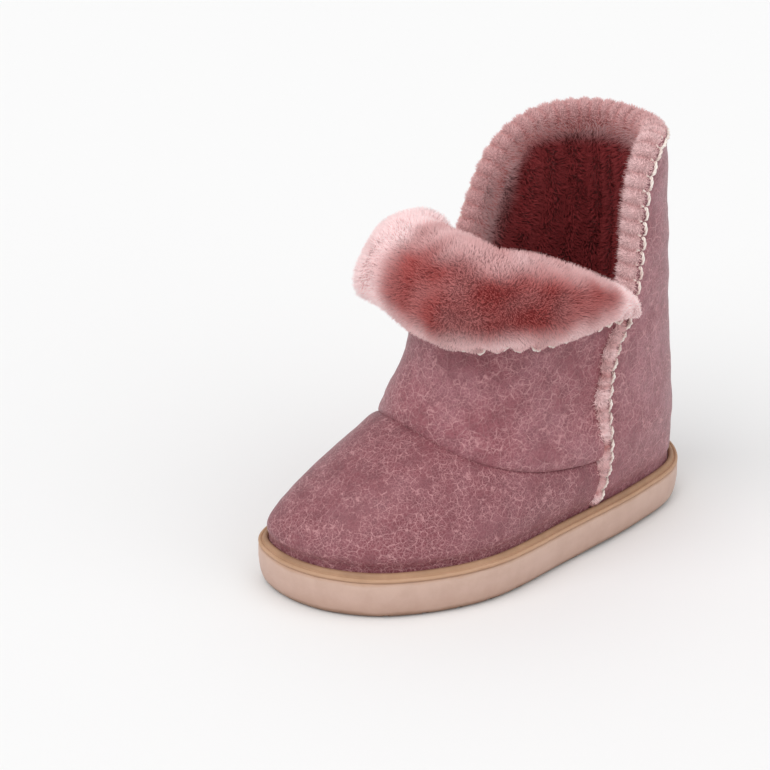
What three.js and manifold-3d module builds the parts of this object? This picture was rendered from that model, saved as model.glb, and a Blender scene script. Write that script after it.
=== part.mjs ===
// A baby's winter bootie for the left foot, in sheepskin on a moulded cup sole.
// Millimetres. +Z up, toe towards -Y, heel towards +Y, outer (lateral) side towards +X.
// The origin is on the ground face of the sole, under the middle of the foot.
import * as THREE from "three";
import { mergeVertices } from "three/addons/utils/BufferGeometryUtils.js";
import Module from "manifold-3d";

const wasm = await Module();
wasm.setup();

// ---------------------------------------------------------------- driving dimensions
const GAP = 0.3; // clearance kept between pieces that touch
const FAR = 100; // reach of a cutting block past the bootie
const TOP = 140; // and its top, above the collar

// Outline of the sole at the rim, counter-clockwise from the toe tip.
const SOLE_OUTLINE = [
  [-5, -74], [12.5, -68], [27, -52.5], [35.5, -25], [31.5, 10], [26.5, 41.5], [18.5, 64],
  [0.5, 73.5], [-18.5, 64.5], [-25, 42], [-24.5, 8], [-30.5, -28], [-28, -54.5], [-20.5, -70.5],
];
const RIM_Z = 12.4; // top of the sidewall
const WELT_TOP = 14.6; // where the welt meets the leather
const WELT_WIDTH = 2.8;
const CUP_FLOOR = 5.4; // thickness of the sole under the foot
const WALL_INSET = [[0, 3.3], [1, 1.8], [2.6, 0.8], [6, 0.25], [RIM_Z, 0]]; // height, inset
const ARCH = { from: 12, to: 31, rise: 1.1 }; // raised waist in front of the heel
const GROOVE = { depth: 0.9, width: 1.6 }; // tread grooves across the sole
const FOREPART_GROOVES = [-56, -46, -36, -26, -16, -6];
const HEEL_GROOVES = [39, 48, 57];

const LEATHER = 1.4;
const FILLER = [CUP_FLOOR + GAP, 8.4]; // bottom and top of each layer inside the cup
const BOARD = [8.7, 10.2];
const LINING_BOTTOM = 10.5;
const FOOTBED_BASE = [10.5, 12];
const FOOTBED_WOOL = [12.3, 17];
const FOOT_PILE = 5; // pile depth of the lining round the foot
const SHAFT_PILE = 7; // and in the shaft
const STIFFENER = 0.8; // thickness of the heel counter and the toe puff
const HEEL_COUNTER = { front: 40, top: 44 }; // y and z where each stiffener ends
const TOE_PUFF = { back: -50, top: 27 };

// Outer face of the upper: its reach at a few heights.
const UPPER = [
  { z: WELT_TOP, front: -70.9, back: 70.4, lateral: 32.4, medial: -27.4 },
  { z: 19, front: -71.4, back: 70.2, lateral: 33, medial: -28 },
  { z: 24, front: -68.3, back: 69.5, lateral: 32.6, medial: -28.4 },
  { z: 30, front: -61, back: 68.8, lateral: 31, medial: -28 },
  { z: 36, front: -51, back: 68.1, lateral: 29.5, medial: -27.3 },
  { z: 42, front: -41, back: 67.4, lateral: 28.3, medial: -26.6 },
  { z: 48, front: -32, back: 66.7, lateral: 27.3, medial: -26 },
  { z: 60, front: -26.4, back: 65.6, lateral: 26.6, medial: -25.6 },
  { z: 74, front: -22.2, back: 64.3, lateral: 26.3, medial: -25.3 },
  { z: 96, front: -18, back: 62, lateral: 26.5, medial: -25 },
  { z: 128, front: -14, back: 58.7, lateral: 26.5, medial: -24.5 },
];
const OUTLINE_FADES = [WELT_TOP, 40]; // the sole's outline turns into the ankle's oval over these heights
const OVAL_POWER = 2.5;

// Front edge of the rear skin seen from the side, as y and z: the seam, then the free collar edge.
const LATERAL_EDGE = [
  [21.5, 4], [22, 18], [23.8, 29], [23.6, 45], [25.2, 57], [28, 66], [33, 73.5], [36, 81], [37.4, 94],
  [38.6, 108], [41, 117], [46, 123.6], [54, 125.5],
];
const MEDIAL_EDGE = [
  [13, 4], [11, 22], [7.5, 42], [4, 60], [2.2, 73.5], [4.5, 84], [9.4, 96], [15, 108], [21, 116.5],
  [30, 122], [42, 124.8], [54, 125.5],
];
const COLLAR_TOP = 125.5; // leather's height at the back
const COLLAR_WOOL_PROUD = 2.4; // the pile stands past the leather's edge by this
const CREASE_Z = 75; // the collar leans back above this height
const VAMP_SEAM = [[60, 30], [22, 30.3], [7, 32], [-5, 34.6], [-18, 39], [-27, 43.6], [-34, 48.5], [-60, 62]];
const SEAM_PILE_WIDTH = 2.6; // strip of pile that shows in front of the rear skin
const SEAM_PILE_PROUD = 0.5; // and how far it stands out of the leather
const SEAM_PILE_TOP = 71;
const LEAN_CLEAR = 5.5; // room in front of the collar's pile, which rises there as the collar leans back

// The front flap: its fold, and how it hangs.
const FOLD = { y: -18.2, z: 97.2, roll: 7.6 };
const FLAP_HALF_WIDTH = 16; // the part that lifts; the cuff sides stay down
const FLAP_DEPTH = 14.5; // from the shaft's leather to the face of the pile
const FLAP_HEM_Z = 76;
const MEDIAL_HEM_Z = 79;
const CUFF_CLEAR = 1.3; // the folded cuff stands off the shaft, whose facets are coarser, by this
const CUFF_END = {
  lateral: { y: 30.5, fold: 79.5, roll: 3.2, depth: 6.5 },
  medial: { y: 1, fold: 89.5, roll: 4.5, depth: 9 },
};
const THREAD_R = 0.7;
const THREAD_INSET = 1.6; // from the skin's edge to the thread
const THREAD_TURN = 50; // past this the collar's thread runs level round the back

const WELT_BEAD = 0.9; // height of the welt's upright side above the rim
const AROUND = 36; // facets round the upper
const RIM_STEPS = 60; // and round the sole
const UPPER_ROWS = [20, 25, 30, 36, 42, 48, 60, 78, 100];

// ---------------------------------------------------------------- small maths
const lerp = THREE.MathUtils.lerp;
const smooth = THREE.MathUtils.smoothstep;

// Value at t on the broken line through [t, value] pairs, rounded by a cubic between them.
function along(pairs, t) {
  const last = pairs.length - 1;
  if (t <= pairs[0][0]) return pairs[0][1];
  if (t >= pairs[last][0]) return pairs[last][1];
  const i = pairs.findIndex((p) => p[0] > t) - 1;
  const slope = (j) => {
    const a = pairs[Math.max(j - 1, 0)];
    const b = pairs[Math.min(j + 1, last)];
    return (b[1] - a[1]) / (b[0] - a[0]);
  };
  const [t0, v0] = pairs[i];
  const [t1, v1] = pairs[i + 1];
  const h = t1 - t0;
  const u = (t - t0) / h;
  const [m0, m1] = [slope(i) * h, slope(i + 1) * h];
  return (
    v0 * (1 + 2 * u) * (1 - u) ** 2 + m0 * u * (1 - u) ** 2 +
    v1 * u * u * (3 - 2 * u) - m1 * u * u * (1 - u)
  );
}

const curve2 = (points, closed, steps) =>
  new THREE.CatmullRomCurve3(points.map(([a, b]) => new THREE.Vector3(a, b, 0)), closed, "catmullrom", 0.5)
    .getPoints(steps)
    .map((p) => [p.x, p.y]);

// ---------------------------------------------------------------- solids
function toSolid(geometry) {
  const bare = geometry.index ? geometry.clone() : geometry;
  bare.deleteAttribute("normal");
  bare.deleteAttribute("uv");
  const merged = mergeVertices(bare, 1e-4);
  return new wasm.Manifold(
    new wasm.Mesh({
      numProp: 3,
      vertProperties: new Float32Array(merged.attributes.position.array),
      triVerts: new Uint32Array(merged.index.array),
    }),
  );
}

function toGeometry(solid) {
  const mesh = solid.getMesh();
  const geometry = new THREE.BufferGeometry();
  geometry.setAttribute("position", new THREE.BufferAttribute(new Float32Array(mesh.vertProperties), 3));
  geometry.setIndex(new THREE.BufferAttribute(new Uint32Array(mesh.triVerts), 1));
  const flat = geometry.toNonIndexed();
  flat.computeVertexNormals();
  return flat;
}

// Skin over a stack of closed rings with the same number of points, closed by a lid at each end.
// Each ring runs counter-clockwise seen against the direction in which the stack grows.
function loft(rings) {
  const n = rings[0].length;
  const positions = rings.flat().flatMap((p) => [p.x, p.y, p.z]);
  const index = [];
  for (let r = 0; r < rings.length - 1; r++) {
    for (let i = 0; i < n; i++) {
      const j = (i + 1) % n;
      const [a, b] = [r * n + i, r * n + j];
      index.push(a, b, b + n, a, b + n, a + n);
    }
  }
  const lid = (ring, start, upwards) => {
    const middle = ring.reduce((s, p) => s.add(p), new THREE.Vector3()).divideScalar(n);
    const u = ring[0].clone().sub(middle).normalize();
    const normal = new THREE.Vector3();
    ring.forEach((p, i) => {
      normal.add(p.clone().sub(middle).cross(ring[(i + 1) % n].clone().sub(middle)));
    });
    const v = normal.normalize().cross(u);
    const outline = ring.map((p) => {
      const d = p.clone().sub(middle);
      return new THREE.Vector2(d.dot(u), d.dot(v));
    });
    for (const [a, b, c] of THREE.ShapeUtils.triangulateShape(outline, [])) {
      if (upwards) index.push(start + a, start + b, start + c);
      else index.push(start + a, start + c, start + b);
    }
  };
  lid(rings[0], 0, false);
  lid(rings[rings.length - 1], (rings.length - 1) * n, true);
  const geometry = new THREE.BufferGeometry();
  geometry.setAttribute("position", new THREE.Float32BufferAttribute(positions, 3));
  geometry.setIndex(index);
  return toSolid(geometry);
}

// Block from x0 to x1 whose side-view outline is a list of [y, z].
function sideBlock(outline, x0, x1) {
  const shape = new THREE.Shape(outline.map(([y, z]) => new THREE.Vector2(y, z)));
  const geometry = new THREE.ExtrudeGeometry(shape, { depth: x1 - x0, bevelEnabled: false });
  // The shape's x, y and depth become y, z and x.
  geometry.applyMatrix4(new THREE.Matrix4().set(0, 0, 1, x0, 1, 0, 0, 0, 0, 1, 0, 0, 0, 0, 0, 1));
  return toSolid(geometry);
}

function box(x0, x1, y0, y1, z0, z1) {
  const geometry = new THREE.BoxGeometry(x1 - x0, y1 - y0, z1 - z0);
  geometry.translate((x0 + x1) / 2, (y0 + y1) / 2, (z0 + z1) / 2);
  return toSolid(geometry);
}

// Round thread through a list of points.
function thread(points, steps, sides = 4) {
  const shape = new THREE.Shape(
    Array.from({ length: sides }, (_, i) => {
      const a = (i / sides) * 2 * Math.PI;
      return new THREE.Vector2(THREAD_R * Math.cos(a), THREAD_R * Math.sin(a));
    }),
  );
  const path = new THREE.CatmullRomCurve3(points, false, "centripetal");
  return toSolid(new THREE.ExtrudeGeometry(shape, { extrudePath: path, steps, bevelEnabled: false }));
}

// ---------------------------------------------------------------- the sole's outline, inset
const RIM = curve2(SOLE_OUTLINE, true, RIM_STEPS).slice(0, -1);

function outline(inset, z) {
  const n = RIM.length;
  return RIM.map(([x, y], i) => {
    const [ax, ay] = RIM[(i + n - 1) % n];
    const [bx, by] = RIM[(i + 1) % n];
    const out = new THREE.Vector2(by - ay, ax - bx).normalize();
    return new THREE.Vector3(x - out.x * inset, y - out.y * inset, z);
  });
}

const layer = (inset, [z0, z1]) => loft([outline(inset, z0), outline(inset, z1)]);

// ---------------------------------------------------------------- the upper's outer face
const reach = (key, z) => along(UPPER.map((row) => [row.z, row[key]]), z);

// Half-size units of the sole's outline, by direction from its middle.
const OUTLINE_RADIUS = (() => {
  const inner = outline(WELT_WIDTH + GAP, 0);
  const base = UPPER[0];
  const middle = [(base.lateral + base.medial) / 2, (base.back + base.front) / 2];
  const half = [(base.lateral - base.medial) / 2, (base.back - base.front) / 2];
  const polar = inner
    .map((p) => [(p.x - middle[0]) / half[0], (p.y - middle[1]) / half[1]])
    .map(([u, v]) => [(Math.atan2(v, u) + 2 * Math.PI) % (2 * Math.PI), Math.hypot(u, v)])
    .sort((a, b) => a[0] - b[0]);
  const first = polar[0];
  const last = polar[polar.length - 1];
  return [[last[0] - 2 * Math.PI, last[1]], ...polar, [first[0] + 2 * Math.PI, first[1]]];
})();

// Point of the outer face at an angle round the ankle (0 lateral, 90 degrees heel) and a height.
function face(angle, z) {
  const turn = ((angle % (2 * Math.PI)) + 2 * Math.PI) % (2 * Math.PI);
  const [c, s] = [Math.cos(turn), Math.sin(turn)];
  const oval = (Math.abs(c) ** OVAL_POWER + Math.abs(s) ** OVAL_POWER) ** (-1 / OVAL_POWER);
  const radius = lerp(along(OUTLINE_RADIUS, turn), oval, smooth(z, ...OUTLINE_FADES));
  const [lateral, medial] = [reach("lateral", z), reach("medial", z)];
  const [front, back] = [reach("front", z), reach("back", z)];
  return new THREE.Vector3(
    (lateral + medial) / 2 + (radius * c * (lateral - medial)) / 2,
    (front + back) / 2 + (radius * s * (back - front)) / 2,
    z,
  );
}

function faceNormal(angle, z) {
  const e = 0.02;
  const across = face(angle + e, z).sub(face(angle - e, z));
  const up = face(angle, z + 0.5).sub(face(angle, z - 0.5));
  return across.cross(up).normalize();
}

// Solid inside the outer face moved inwards by a depth, which may change with height.
function inside(depth, z0, z1) {
  const heights = [z0, ...UPPER_ROWS.filter((z) => z > z0 + 1 && z < z1 - 1), z1];
  if (z0 < WELT_TOP) heights.splice(1, 0, WELT_TOP);
  const at = typeof depth === "function" ? depth : () => depth;
  return loft(
    heights.map((z, row) =>
      Array.from({ length: AROUND }, (_, i) => {
        const angle = (i / AROUND) * 2 * Math.PI;
        const normal = faceNormal(angle, z);
        if (row === 0 || row === heights.length - 1) normal.setZ(0).normalize();
        return face(angle, z).addScaledVector(normal, -at(z));
      }),
    ),
  );
}

// Angle on one side (+1 lateral, -1 medial) where the outer face at height z reaches y.
function angleAt(y, z, side) {
  let [low, high] = [-Math.PI / 2, Math.PI / 2];
  for (let i = 0; i < 40; i++) {
    const mid = (low + high) / 2;
    if (face(side > 0 ? mid : Math.PI - mid, z).y < y) low = mid;
    else high = mid;
  }
  return side > 0 ? low : Math.PI - low;
}

// Angle in front where the outer face at height z reaches x.
function frontAngleAt(x, z) {
  let [low, high] = [Math.PI, 2 * Math.PI];
  for (let i = 0; i < 40; i++) {
    const mid = (low + high) / 2;
    if (face(mid, z).x < x) low = mid;
    else high = mid;
  }
  return low;
}

// ---------------------------------------------------------------- cutting blocks for the panels
const LATERAL = curve2(LATERAL_EDGE, false, 30);
const MEDIAL = curve2(MEDIAL_EDGE, false, 30);

// Everything behind the rear skin's edge moved forwards by `grow`, up to its top.
function rearBlock(grow) {
  const side = (edge, x0, x1) => {
    const moved = edge.map(([y, z], i) => {
      const [ay, az] = edge[Math.max(i - 1, 0)];
      const [by, bz] = edge[Math.min(i + 1, edge.length - 1)];
      const out = new THREE.Vector2(-(bz - az), by - ay).normalize();
      return [y + out.x * grow, z + out.y * grow];
    });
    moved[0][1] = 0;
    return sideBlock([...moved, [FAR, COLLAR_TOP + grow], [FAR, 0]].reverse(), x0, x1);
  };
  return side(LATERAL, 0, FAR).add(side(MEDIAL, -FAR, 0));
}

// Everything in front of the rear skin's edge moved forwards by `back`.
function frontBlock(back) {
  const whole = box(-FAR, FAR, -FAR, FAR, 0, TOP);
  return whole.subtract(rearBlock(back));
}

const vampSeam = curve2(VAMP_SEAM, false, 24);
const underVampSeam = (drop) =>
  sideBlock([...vampSeam.map(([y, z]) => [y, z - drop]), [-FAR, 62 - drop], [-FAR, 0], [60, 0]], -FAR, FAR);

// ---------------------------------------------------------------- the folded cuff
// Cross-sections are drawn outwards (n) and upwards (h) from the fold on the shaft's outer face.
function cuffStation(side, t) {
  const end = CUFF_END[side > 0 ? "lateral" : "medial"];
  const startAngle = frontAngleAt(side * (FLAP_HALF_WIDTH + GAP), FOLD.z);
  const endAngle = angleAt(end.y, end.fold, side);
  const turned = side > 0 ? endAngle + 2 * Math.PI : endAngle;
  const angle = lerp(startAngle, turned, t);
  const fold = lerp(FOLD.z, end.fold, t ** 1.4);
  // The cuff leaves the flap square to the straight fold, then turns to follow the leg.
  const free = smooth(t, 0, 0.35);
  const wall = face(angle, fold);
  const outwards = faceNormal(angle, fold).setZ(0).normalize();
  return {
    angle,
    fold,
    outwards: new THREE.Vector3(0, -1, 0).lerp(outwards, free).normalize(),
    origin: new THREE.Vector3(wall.x, FOLD.y, fold).lerp(wall, free),
    roll: lerp(FOLD.roll, end.roll, t),
    depth: lerp(FLAP_DEPTH, end.depth, smooth(t, 0.25, 1)),
    hem: lerp(hemAt(side * FLAP_HALF_WIDTH), side > 0 ? FLAP_HEM_Z : MEDIAL_HEM_Z, t),
  };
}

const hemAt = (x) => lerp(MEDIAL_HEM_Z, FLAP_HEM_Z, smooth(x, -FLAP_HALF_WIDTH, FLAP_HALF_WIDTH));

// On the part that lifts, the roll lies straight along the fold, whatever the shaft does behind it.
const foldPoint = (x) => new THREE.Vector3(x, FOLD.y, FOLD.z);

function flapStation(x) {
  return {
    angle: frontAngleAt(x, FOLD.z),
    fold: FOLD.z,
    outwards: new THREE.Vector3(0, -1, 0),
    origin: foldPoint(x),
    roll: FOLD.roll,
    depth: FLAP_DEPTH,
    hem: hemAt(x),
  };
}

// Where the shaft's outer face crosses a station's plane, h above the fold: distance out of the fold.
function wallAt(station, h) {
  const { angle, fold, outwards, origin } = station;
  const round = new THREE.Vector3(0, 0, 1).cross(outwards);
  let [low, high] = [angle - 0.6, angle + 0.6];
  for (let i = 0; i < 30; i++) {
    const mid = (low + high) / 2;
    if (face(mid, fold + h).sub(origin).dot(round) < 0) low = mid;
    else high = mid;
  }
  return face(low, fold + h).sub(origin).dot(outwards);
}

// Where the shaft curves away from the section's direction, the same thickness measures more along it.
function wallSlant(station) {
  const normal = faceNormal(station.angle, station.fold).setZ(0).normalize();
  return 1 / Math.max(normal.dot(station.outwards), 0.5);
}

function place(station, n, h) {
  return station.origin.clone().addScaledVector(station.outwards, n).add(new THREE.Vector3(0, 0, h));
}

function woolSection(station) {
  const { roll, depth, hem, fold } = station;
  const drop = hem - fold;
  const back = (h) => wallAt(station, h) + CUFF_CLEAR + LEATHER + GAP;
  const slant = wallSlant(station);
  const front = (h, share) => wallAt(station, h) + depth * share * slant;
  const low = Math.min(-roll - 0.5, drop);
  const points = [
    [back(low), low],
    [front(low, 0.62), low - 0.8],
    [front(low * 0.8, 0.95), low * 0.8],
    [front(low * 0.5, 1.04), low * 0.5],
    [front(low * 0.2, 0.98), low * 0.2],
    [Math.max(front(0, 0.8), roll), roll * 0.3],
    [roll * 0.6, roll * 0.85],
    [0, roll],
    [-roll * 0.7, roll * 0.7],
    [-roll, 0],
    [-roll * 0.7, -roll * 0.7],
    [-roll * 0.1, -roll],
    [back(-roll), -roll],
  ];
  return points.map(([n, h]) => place(station, n, h));
}

function leatherSection(station) {
  const { roll, hem, fold } = station;
  const top = -roll - GAP;
  const bottom = Math.min(hem - fold + 2, top - 1);
  const inner = (h) => wallAt(station, h) + CUFF_CLEAR;
  return [
    [inner(bottom), bottom],
    [inner(bottom) + LEATHER, bottom],
    [inner(top) + LEATHER, top],
    [inner(top), top],
  ].map(([n, h]) => place(station, n, h));
}

// The roll alone, a little larger, with its facets parallel to the pile's.
function rollSection(station) {
  const r = station.roll + 2 * GAP;
  const round = [[0.8, 0.3], [0.6, 0.85], [0, 1], [-0.7, 0.7], [-1, 0], [-0.7, -0.7], [-0.1, -1], [0.7, -1]];
  return round.map(([n, h]) => place(station, n * r, h * r));
}

// The space above the shaft's rim: a trough that the roll lies in, open to the top.
function troughSection(station) {
  const r = station.roll + CUFF_CLEAR;
  const inner = -LEATHER - SHAFT_PILE - 6;
  return [
    [inner, -0.72 * r], [-0.72 * r, -0.72 * r], [-0.4 * r, -0.95 * r], [0, -1.03 * r], [0.5 * r, -0.92 * r],
    [0.95 * r, -0.5 * r], [1.03 * r, 0], [r, TOP - FOLD.z], [inner, TOP - FOLD.z],
  ].map(([n, h]) => place(station, n, h));
}

const SIDE_STEPS = [0, 0.1, 0.2, 0.3, 0.4, 0.52, 0.66, 0.82, 1];
const sideStations = (side) => SIDE_STEPS.map((t) => cuffStation(side, t));
const troughStations = (side) => [...SIDE_STEPS, 1.35].map((t) => cuffStation(side, t));
const flapRow = (half) => [-1, -0.6, -0.2, 0.2, 0.6, 1].map((t) => flapStation(t * half));
const flapStations = flapRow(FLAP_HALF_WIDTH);

// A loft grows from its first ring to its last: the cuff's run clockwise round the leg seen from above.
const cuffLoft = (stations, section, side) => {
  const rings = stations.map(section);
  return loft(side > 0 ? rings.reverse() : rings);
};

// ---------------------------------------------------------------- sub-parts
const group = new THREE.Group();

function add(name, solid, colour, roughness) {
  const material = new THREE.MeshStandardMaterial({ color: colour, roughness, metalness: 0 });
  const mesh = new THREE.Mesh(toGeometry(solid), material);
  mesh.name = name;
  group.add(mesh);
}

const COLOUR = {
  leather: 0x8e5963,
  wool: 0xb06a6c,
  paleWool: 0xd9aaa9,
  rubber: 0xbc9c8f,
  welt: 0xb08d75,
  foam: 0xcfc6b8,
  board: 0xa88f72,
  stiffener: 0xd8cdb8,
  thread: 0xefe6df,
};

function addSole() {
  const rings = WALL_INSET.map(([z, inset]) => outline(inset, z));
  let sole = loft(rings).subtract(layer(WELT_WIDTH, [CUP_FLOOR, RIM_Z + 5]));
  const { from, to, rise } = ARCH;
  const waist = curve2([[from, -0.01], [lerp(from, to, 0.4), rise], [to - 2, rise], [to, -0.01]], false, 8);
  sole = sole.subtract(sideBlock([...waist, [to, -5], [from, -5]].reverse(), -FAR, FAR));
  for (const y of [...FOREPART_GROOVES, ...HEEL_GROOVES]) {
    sole = sole.subtract(box(-FAR, FAR, y, y + GROOVE.width, -5, GROOVE.depth));
  }
  add("outsole_cup", sole, COLOUR.rubber, 0.55);
}

function addWelt() {
  const rise = [[RIM_Z + GAP, 0.1], [RIM_Z + WELT_BEAD, 0.5], [WELT_TOP, 1.9]];
  const outer = loft(rise.map(([z, inset]) => outline(inset, z)));
  add("sole_welt", outer.subtract(layer(WELT_WIDTH, [RIM_Z - 5, WELT_TOP + 5])), COLOUR.welt, 0.6);
}

function addSoleLayers() {
  const inset = WELT_WIDTH + LEATHER + 5 * GAP;
  const footInset = inset + FOOT_PILE + 2 * GAP;
  add("midsole_filler", layer(inset, FILLER), COLOUR.foam, 0.9);
  add("insole_board", layer(inset, BOARD), COLOUR.board, 0.9);
  add("footbed_base", layer(footInset, FOOTBED_BASE), COLOUR.foam, 0.9);
  const [low, high] = FOOTBED_WOOL;
  const crown = loft([outline(footInset, low), outline(footInset, high - 1.5), outline(footInset + 2, high)]);
  add("footbed_wool", crown, COLOUR.wool, 1);
}

const rollSpace = cuffLoft(flapRow(FLAP_HALF_WIDTH + 2 * GAP), troughSection, 1)
  .add(cuffLoft(troughStations(1), troughSection, 1))
  .add(cuffLoft(troughStations(-1), troughSection, -1))
  .add(cuffLoft(sideStations(1), rollSection, 1))
  .add(cuffLoft(sideStations(-1), rollSection, -1));

function shellBetween(outerDepth, innerDepth, bottom) {
  return inside(outerDepth, bottom, TOP - 10).subtract(inside(innerDepth, bottom - 1, TOP - 9));
}

const pileDepth = (z) => LEATHER + GAP + lerp(FOOT_PILE, SHAFT_PILE, smooth(z, 40, 75));

// Heel counter and toe puff: stiff shells between the leather and the pile.
// They sit in pockets in the pile, wider than themselves by `spare`.
const zone = (y0, y1, top) => box(-FAR, FAR, y0, y1, LINING_BOTTOM, top);
const heelZone = (spare) => zone(HEEL_COUNTER.front - spare, FAR, HEEL_COUNTER.top + spare);
const toeZone = (spare) => zone(-FAR, TOE_PUFF.back + spare, TOE_PUFF.top + spare);

const slab = (z0, z1) => box(-FAR, FAR, -FAR, FAR, z0, z1);
const leanSpace = rearBlock(COLLAR_WOOL_PROUD + LEAN_CLEAR).intersect(slab(CREASE_Z, TOP));

function addUpper() {
  const leather = shellBetween(0, LEATHER, CUP_FLOOR + GAP);
  const pile = shellBetween(LEATHER + GAP, pileDepth, LINING_BOTTOM);
  const stiffener = shellBetween(LEATHER + GAP, LEATHER + GAP + STIFFENER, LINING_BOTTOM);
  const stiffenerSpace = shellBetween(LEATHER, LEATHER + 2 * GAP + STIFFENER, LINING_BOTTOM - 2);
  const pockets = stiffenerSpace.intersect(heelZone(GAP).add(toeZone(GAP)));
  const lining = pile.subtract(pockets);

  const rear = rearBlock(0);
  const rearWool = rearBlock(COLLAR_WOOL_PROUD);
  const front = frontBlock(SEAM_PILE_WIDTH + GAP);
  const frontWool = frontBlock(COLLAR_WOOL_PROUD + GAP);
  const low = slab(0, CREASE_Z - GAP / 2);
  const high = slab(CREASE_Z + GAP / 2, TOP);

  add("vamp_leather", leather.intersect(front).intersect(underVampSeam(GAP / 2)), COLOUR.leather, 0.6);
  add("vamp_wool_lining", lining.intersect(frontWool).intersect(underVampSeam(GAP / 2)), COLOUR.wool, 1);
  add("toe_puff", stiffener.intersect(toeZone(0)), COLOUR.stiffener, 0.8);
  add("heel_counter", stiffener.intersect(heelZone(0)), COLOUR.stiffener, 0.8);

  const shaftZone = slab(0, FOLD.z - 2).subtract(underVampSeam(-GAP / 2)).subtract(rollSpace);
  add("front_shaft_leather", leather.intersect(front).intersect(shaftZone), COLOUR.leather, 0.6);
  const frontPile = lining.intersect(frontWool).intersect(shaftZone).subtract(leanSpace);
  add("front_shaft_wool_lining", frontPile, COLOUR.wool, 1);

  add("rear_quarter_leather", leather.intersect(rear).intersect(low), COLOUR.leather, 0.6);
  add("rear_quarter_wool_lining", lining.intersect(rearWool).intersect(low), COLOUR.wool, 1);
  add("rear_collar_leather", leather.intersect(rear).intersect(high), COLOUR.leather, 0.6);
  add("rear_collar_wool_lining", lining.intersect(rearWool).intersect(high), COLOUR.wool, 1);

  const strip = shellBetween(-SEAM_PILE_PROUD, LEATHER, WELT_TOP + GAP)
    .intersect(rearBlock(SEAM_PILE_WIDTH).subtract(rearBlock(GAP)))
    .intersect(slab(0, SEAM_PILE_TOP));
  add("side_seam_wool_lateral", strip.intersect(box(0, FAR, -FAR, FAR, 0, TOP)), COLOUR.paleWool, 1);
  add("side_seam_wool_medial", strip.intersect(box(-FAR, 0, -FAR, FAR, 0, TOP)), COLOUR.paleWool, 1);
}

function addCuff() {
  add("front_flap_leather", cuffLoft(flapStations, leatherSection, 1), COLOUR.leather, 0.6);
  add("front_flap_wool", cuffLoft(flapStations, woolSection, 1), COLOUR.wool, 1);
  const start = FLAP_HALF_WIDTH + GAP;
  // Nothing of the sides reaches in behind the part that lifts, or over the part that leans.
  const room = {
    lateral: box(start, FAR, -FAR, FAR, 0, TOP),
    medial: box(-FAR, -start, -FAR, FAR, 0, TOP).subtract(leanSpace),
  };
  for (const [side, name] of [[1, "lateral"], [-1, "medial"]]) {
    const part = (section) => cuffLoft(sideStations(side), section, side).intersect(room[name]);
    add(`cuff_leather_${name}`, part(leatherSection), COLOUR.leather, 0.6);
    add(`cuff_wool_${name}`, part(woolSection), COLOUR.wool, 1);
  }
}

// A point on the outer leather, lifted so that a thread lies on it.
function onLeather(y, z, side) {
  const angle = angleAt(y, z, side);
  return face(angle, z).addScaledVector(faceNormal(angle, z), THREAD_R + 2 * GAP);
}

function addThreads() {
  const seam = (edge, side) =>
    edge
      .filter(([, z]) => z > WELT_TOP + 2 && z < CREASE_Z - 3)
      .map(([y, z]) => onLeather(y + THREAD_INSET, z, side));
  add("side_seam_thread_lateral", thread(seam(LATERAL, 1), 18), COLOUR.thread, 0.8);
  add("side_seam_thread_medial", thread(seam(MEDIAL, -1), 18), COLOUR.thread, 0.8);

  const rim = (edge, side) =>
    edge
      .filter(([y, z]) => z > CREASE_Z + 1.5 && y < THREAD_TURN)
      .map(([y, z]) => {
        // Where the edge turns level, the thread lies below it, not behind it.
        const level = smooth(z, 104, 124);
        return onLeather(y + THREAD_INSET * (1 - level), z - THREAD_INSET * level, side);
      });
  const back = [0.2, 0.35, 0.5, 0.65, 0.8].map((t) => {
    const z = COLLAR_TOP - THREAD_INSET;
    const angle = lerp(angleAt(THREAD_TURN, z, 1), angleAt(THREAD_TURN, z, -1), t);
    return face(angle, z).addScaledVector(faceNormal(angle, z), THREAD_R + 2 * GAP);
  });
  const whole = [...rim(LATERAL, 1), ...back, ...rim(MEDIAL, -1).reverse()];
  add("collar_edge_thread", thread(whole, 48), COLOUR.thread, 0.8);
}

addSole();
addWelt();
addSoleLayers();
addUpper();
addCuff();
addThreads();

export default group;
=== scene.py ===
# %% [markdown]
# # A baby's sheepskin bootie
# A soft winter boot for a first walker. Its upper is sheepskin: crackled mauve leather outside, rose
# wool inside. The front is folded down as a cuff, the heel stands up as a tall collar, and the whole
# sits in a moulded cup sole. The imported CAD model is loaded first, and every piece is built around it.

# %% Load the frame
import math

import bmesh
import bpy
import numpy as np
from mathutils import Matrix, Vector, noise


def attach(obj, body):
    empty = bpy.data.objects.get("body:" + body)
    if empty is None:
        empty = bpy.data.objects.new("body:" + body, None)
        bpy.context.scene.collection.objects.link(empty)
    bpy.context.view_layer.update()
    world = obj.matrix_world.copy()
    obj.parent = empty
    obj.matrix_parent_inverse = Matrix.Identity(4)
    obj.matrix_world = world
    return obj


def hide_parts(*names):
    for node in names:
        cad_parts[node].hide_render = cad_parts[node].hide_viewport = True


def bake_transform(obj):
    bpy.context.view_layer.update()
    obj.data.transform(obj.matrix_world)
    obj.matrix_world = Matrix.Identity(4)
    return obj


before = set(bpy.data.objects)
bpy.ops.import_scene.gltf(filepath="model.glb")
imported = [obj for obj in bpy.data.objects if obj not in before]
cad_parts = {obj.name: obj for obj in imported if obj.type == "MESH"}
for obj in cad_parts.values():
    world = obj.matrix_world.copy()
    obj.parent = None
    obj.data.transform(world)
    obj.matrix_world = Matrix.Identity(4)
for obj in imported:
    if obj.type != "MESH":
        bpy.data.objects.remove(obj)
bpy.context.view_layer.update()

MM = 0.001
TURN = 2 * math.pi

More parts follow.
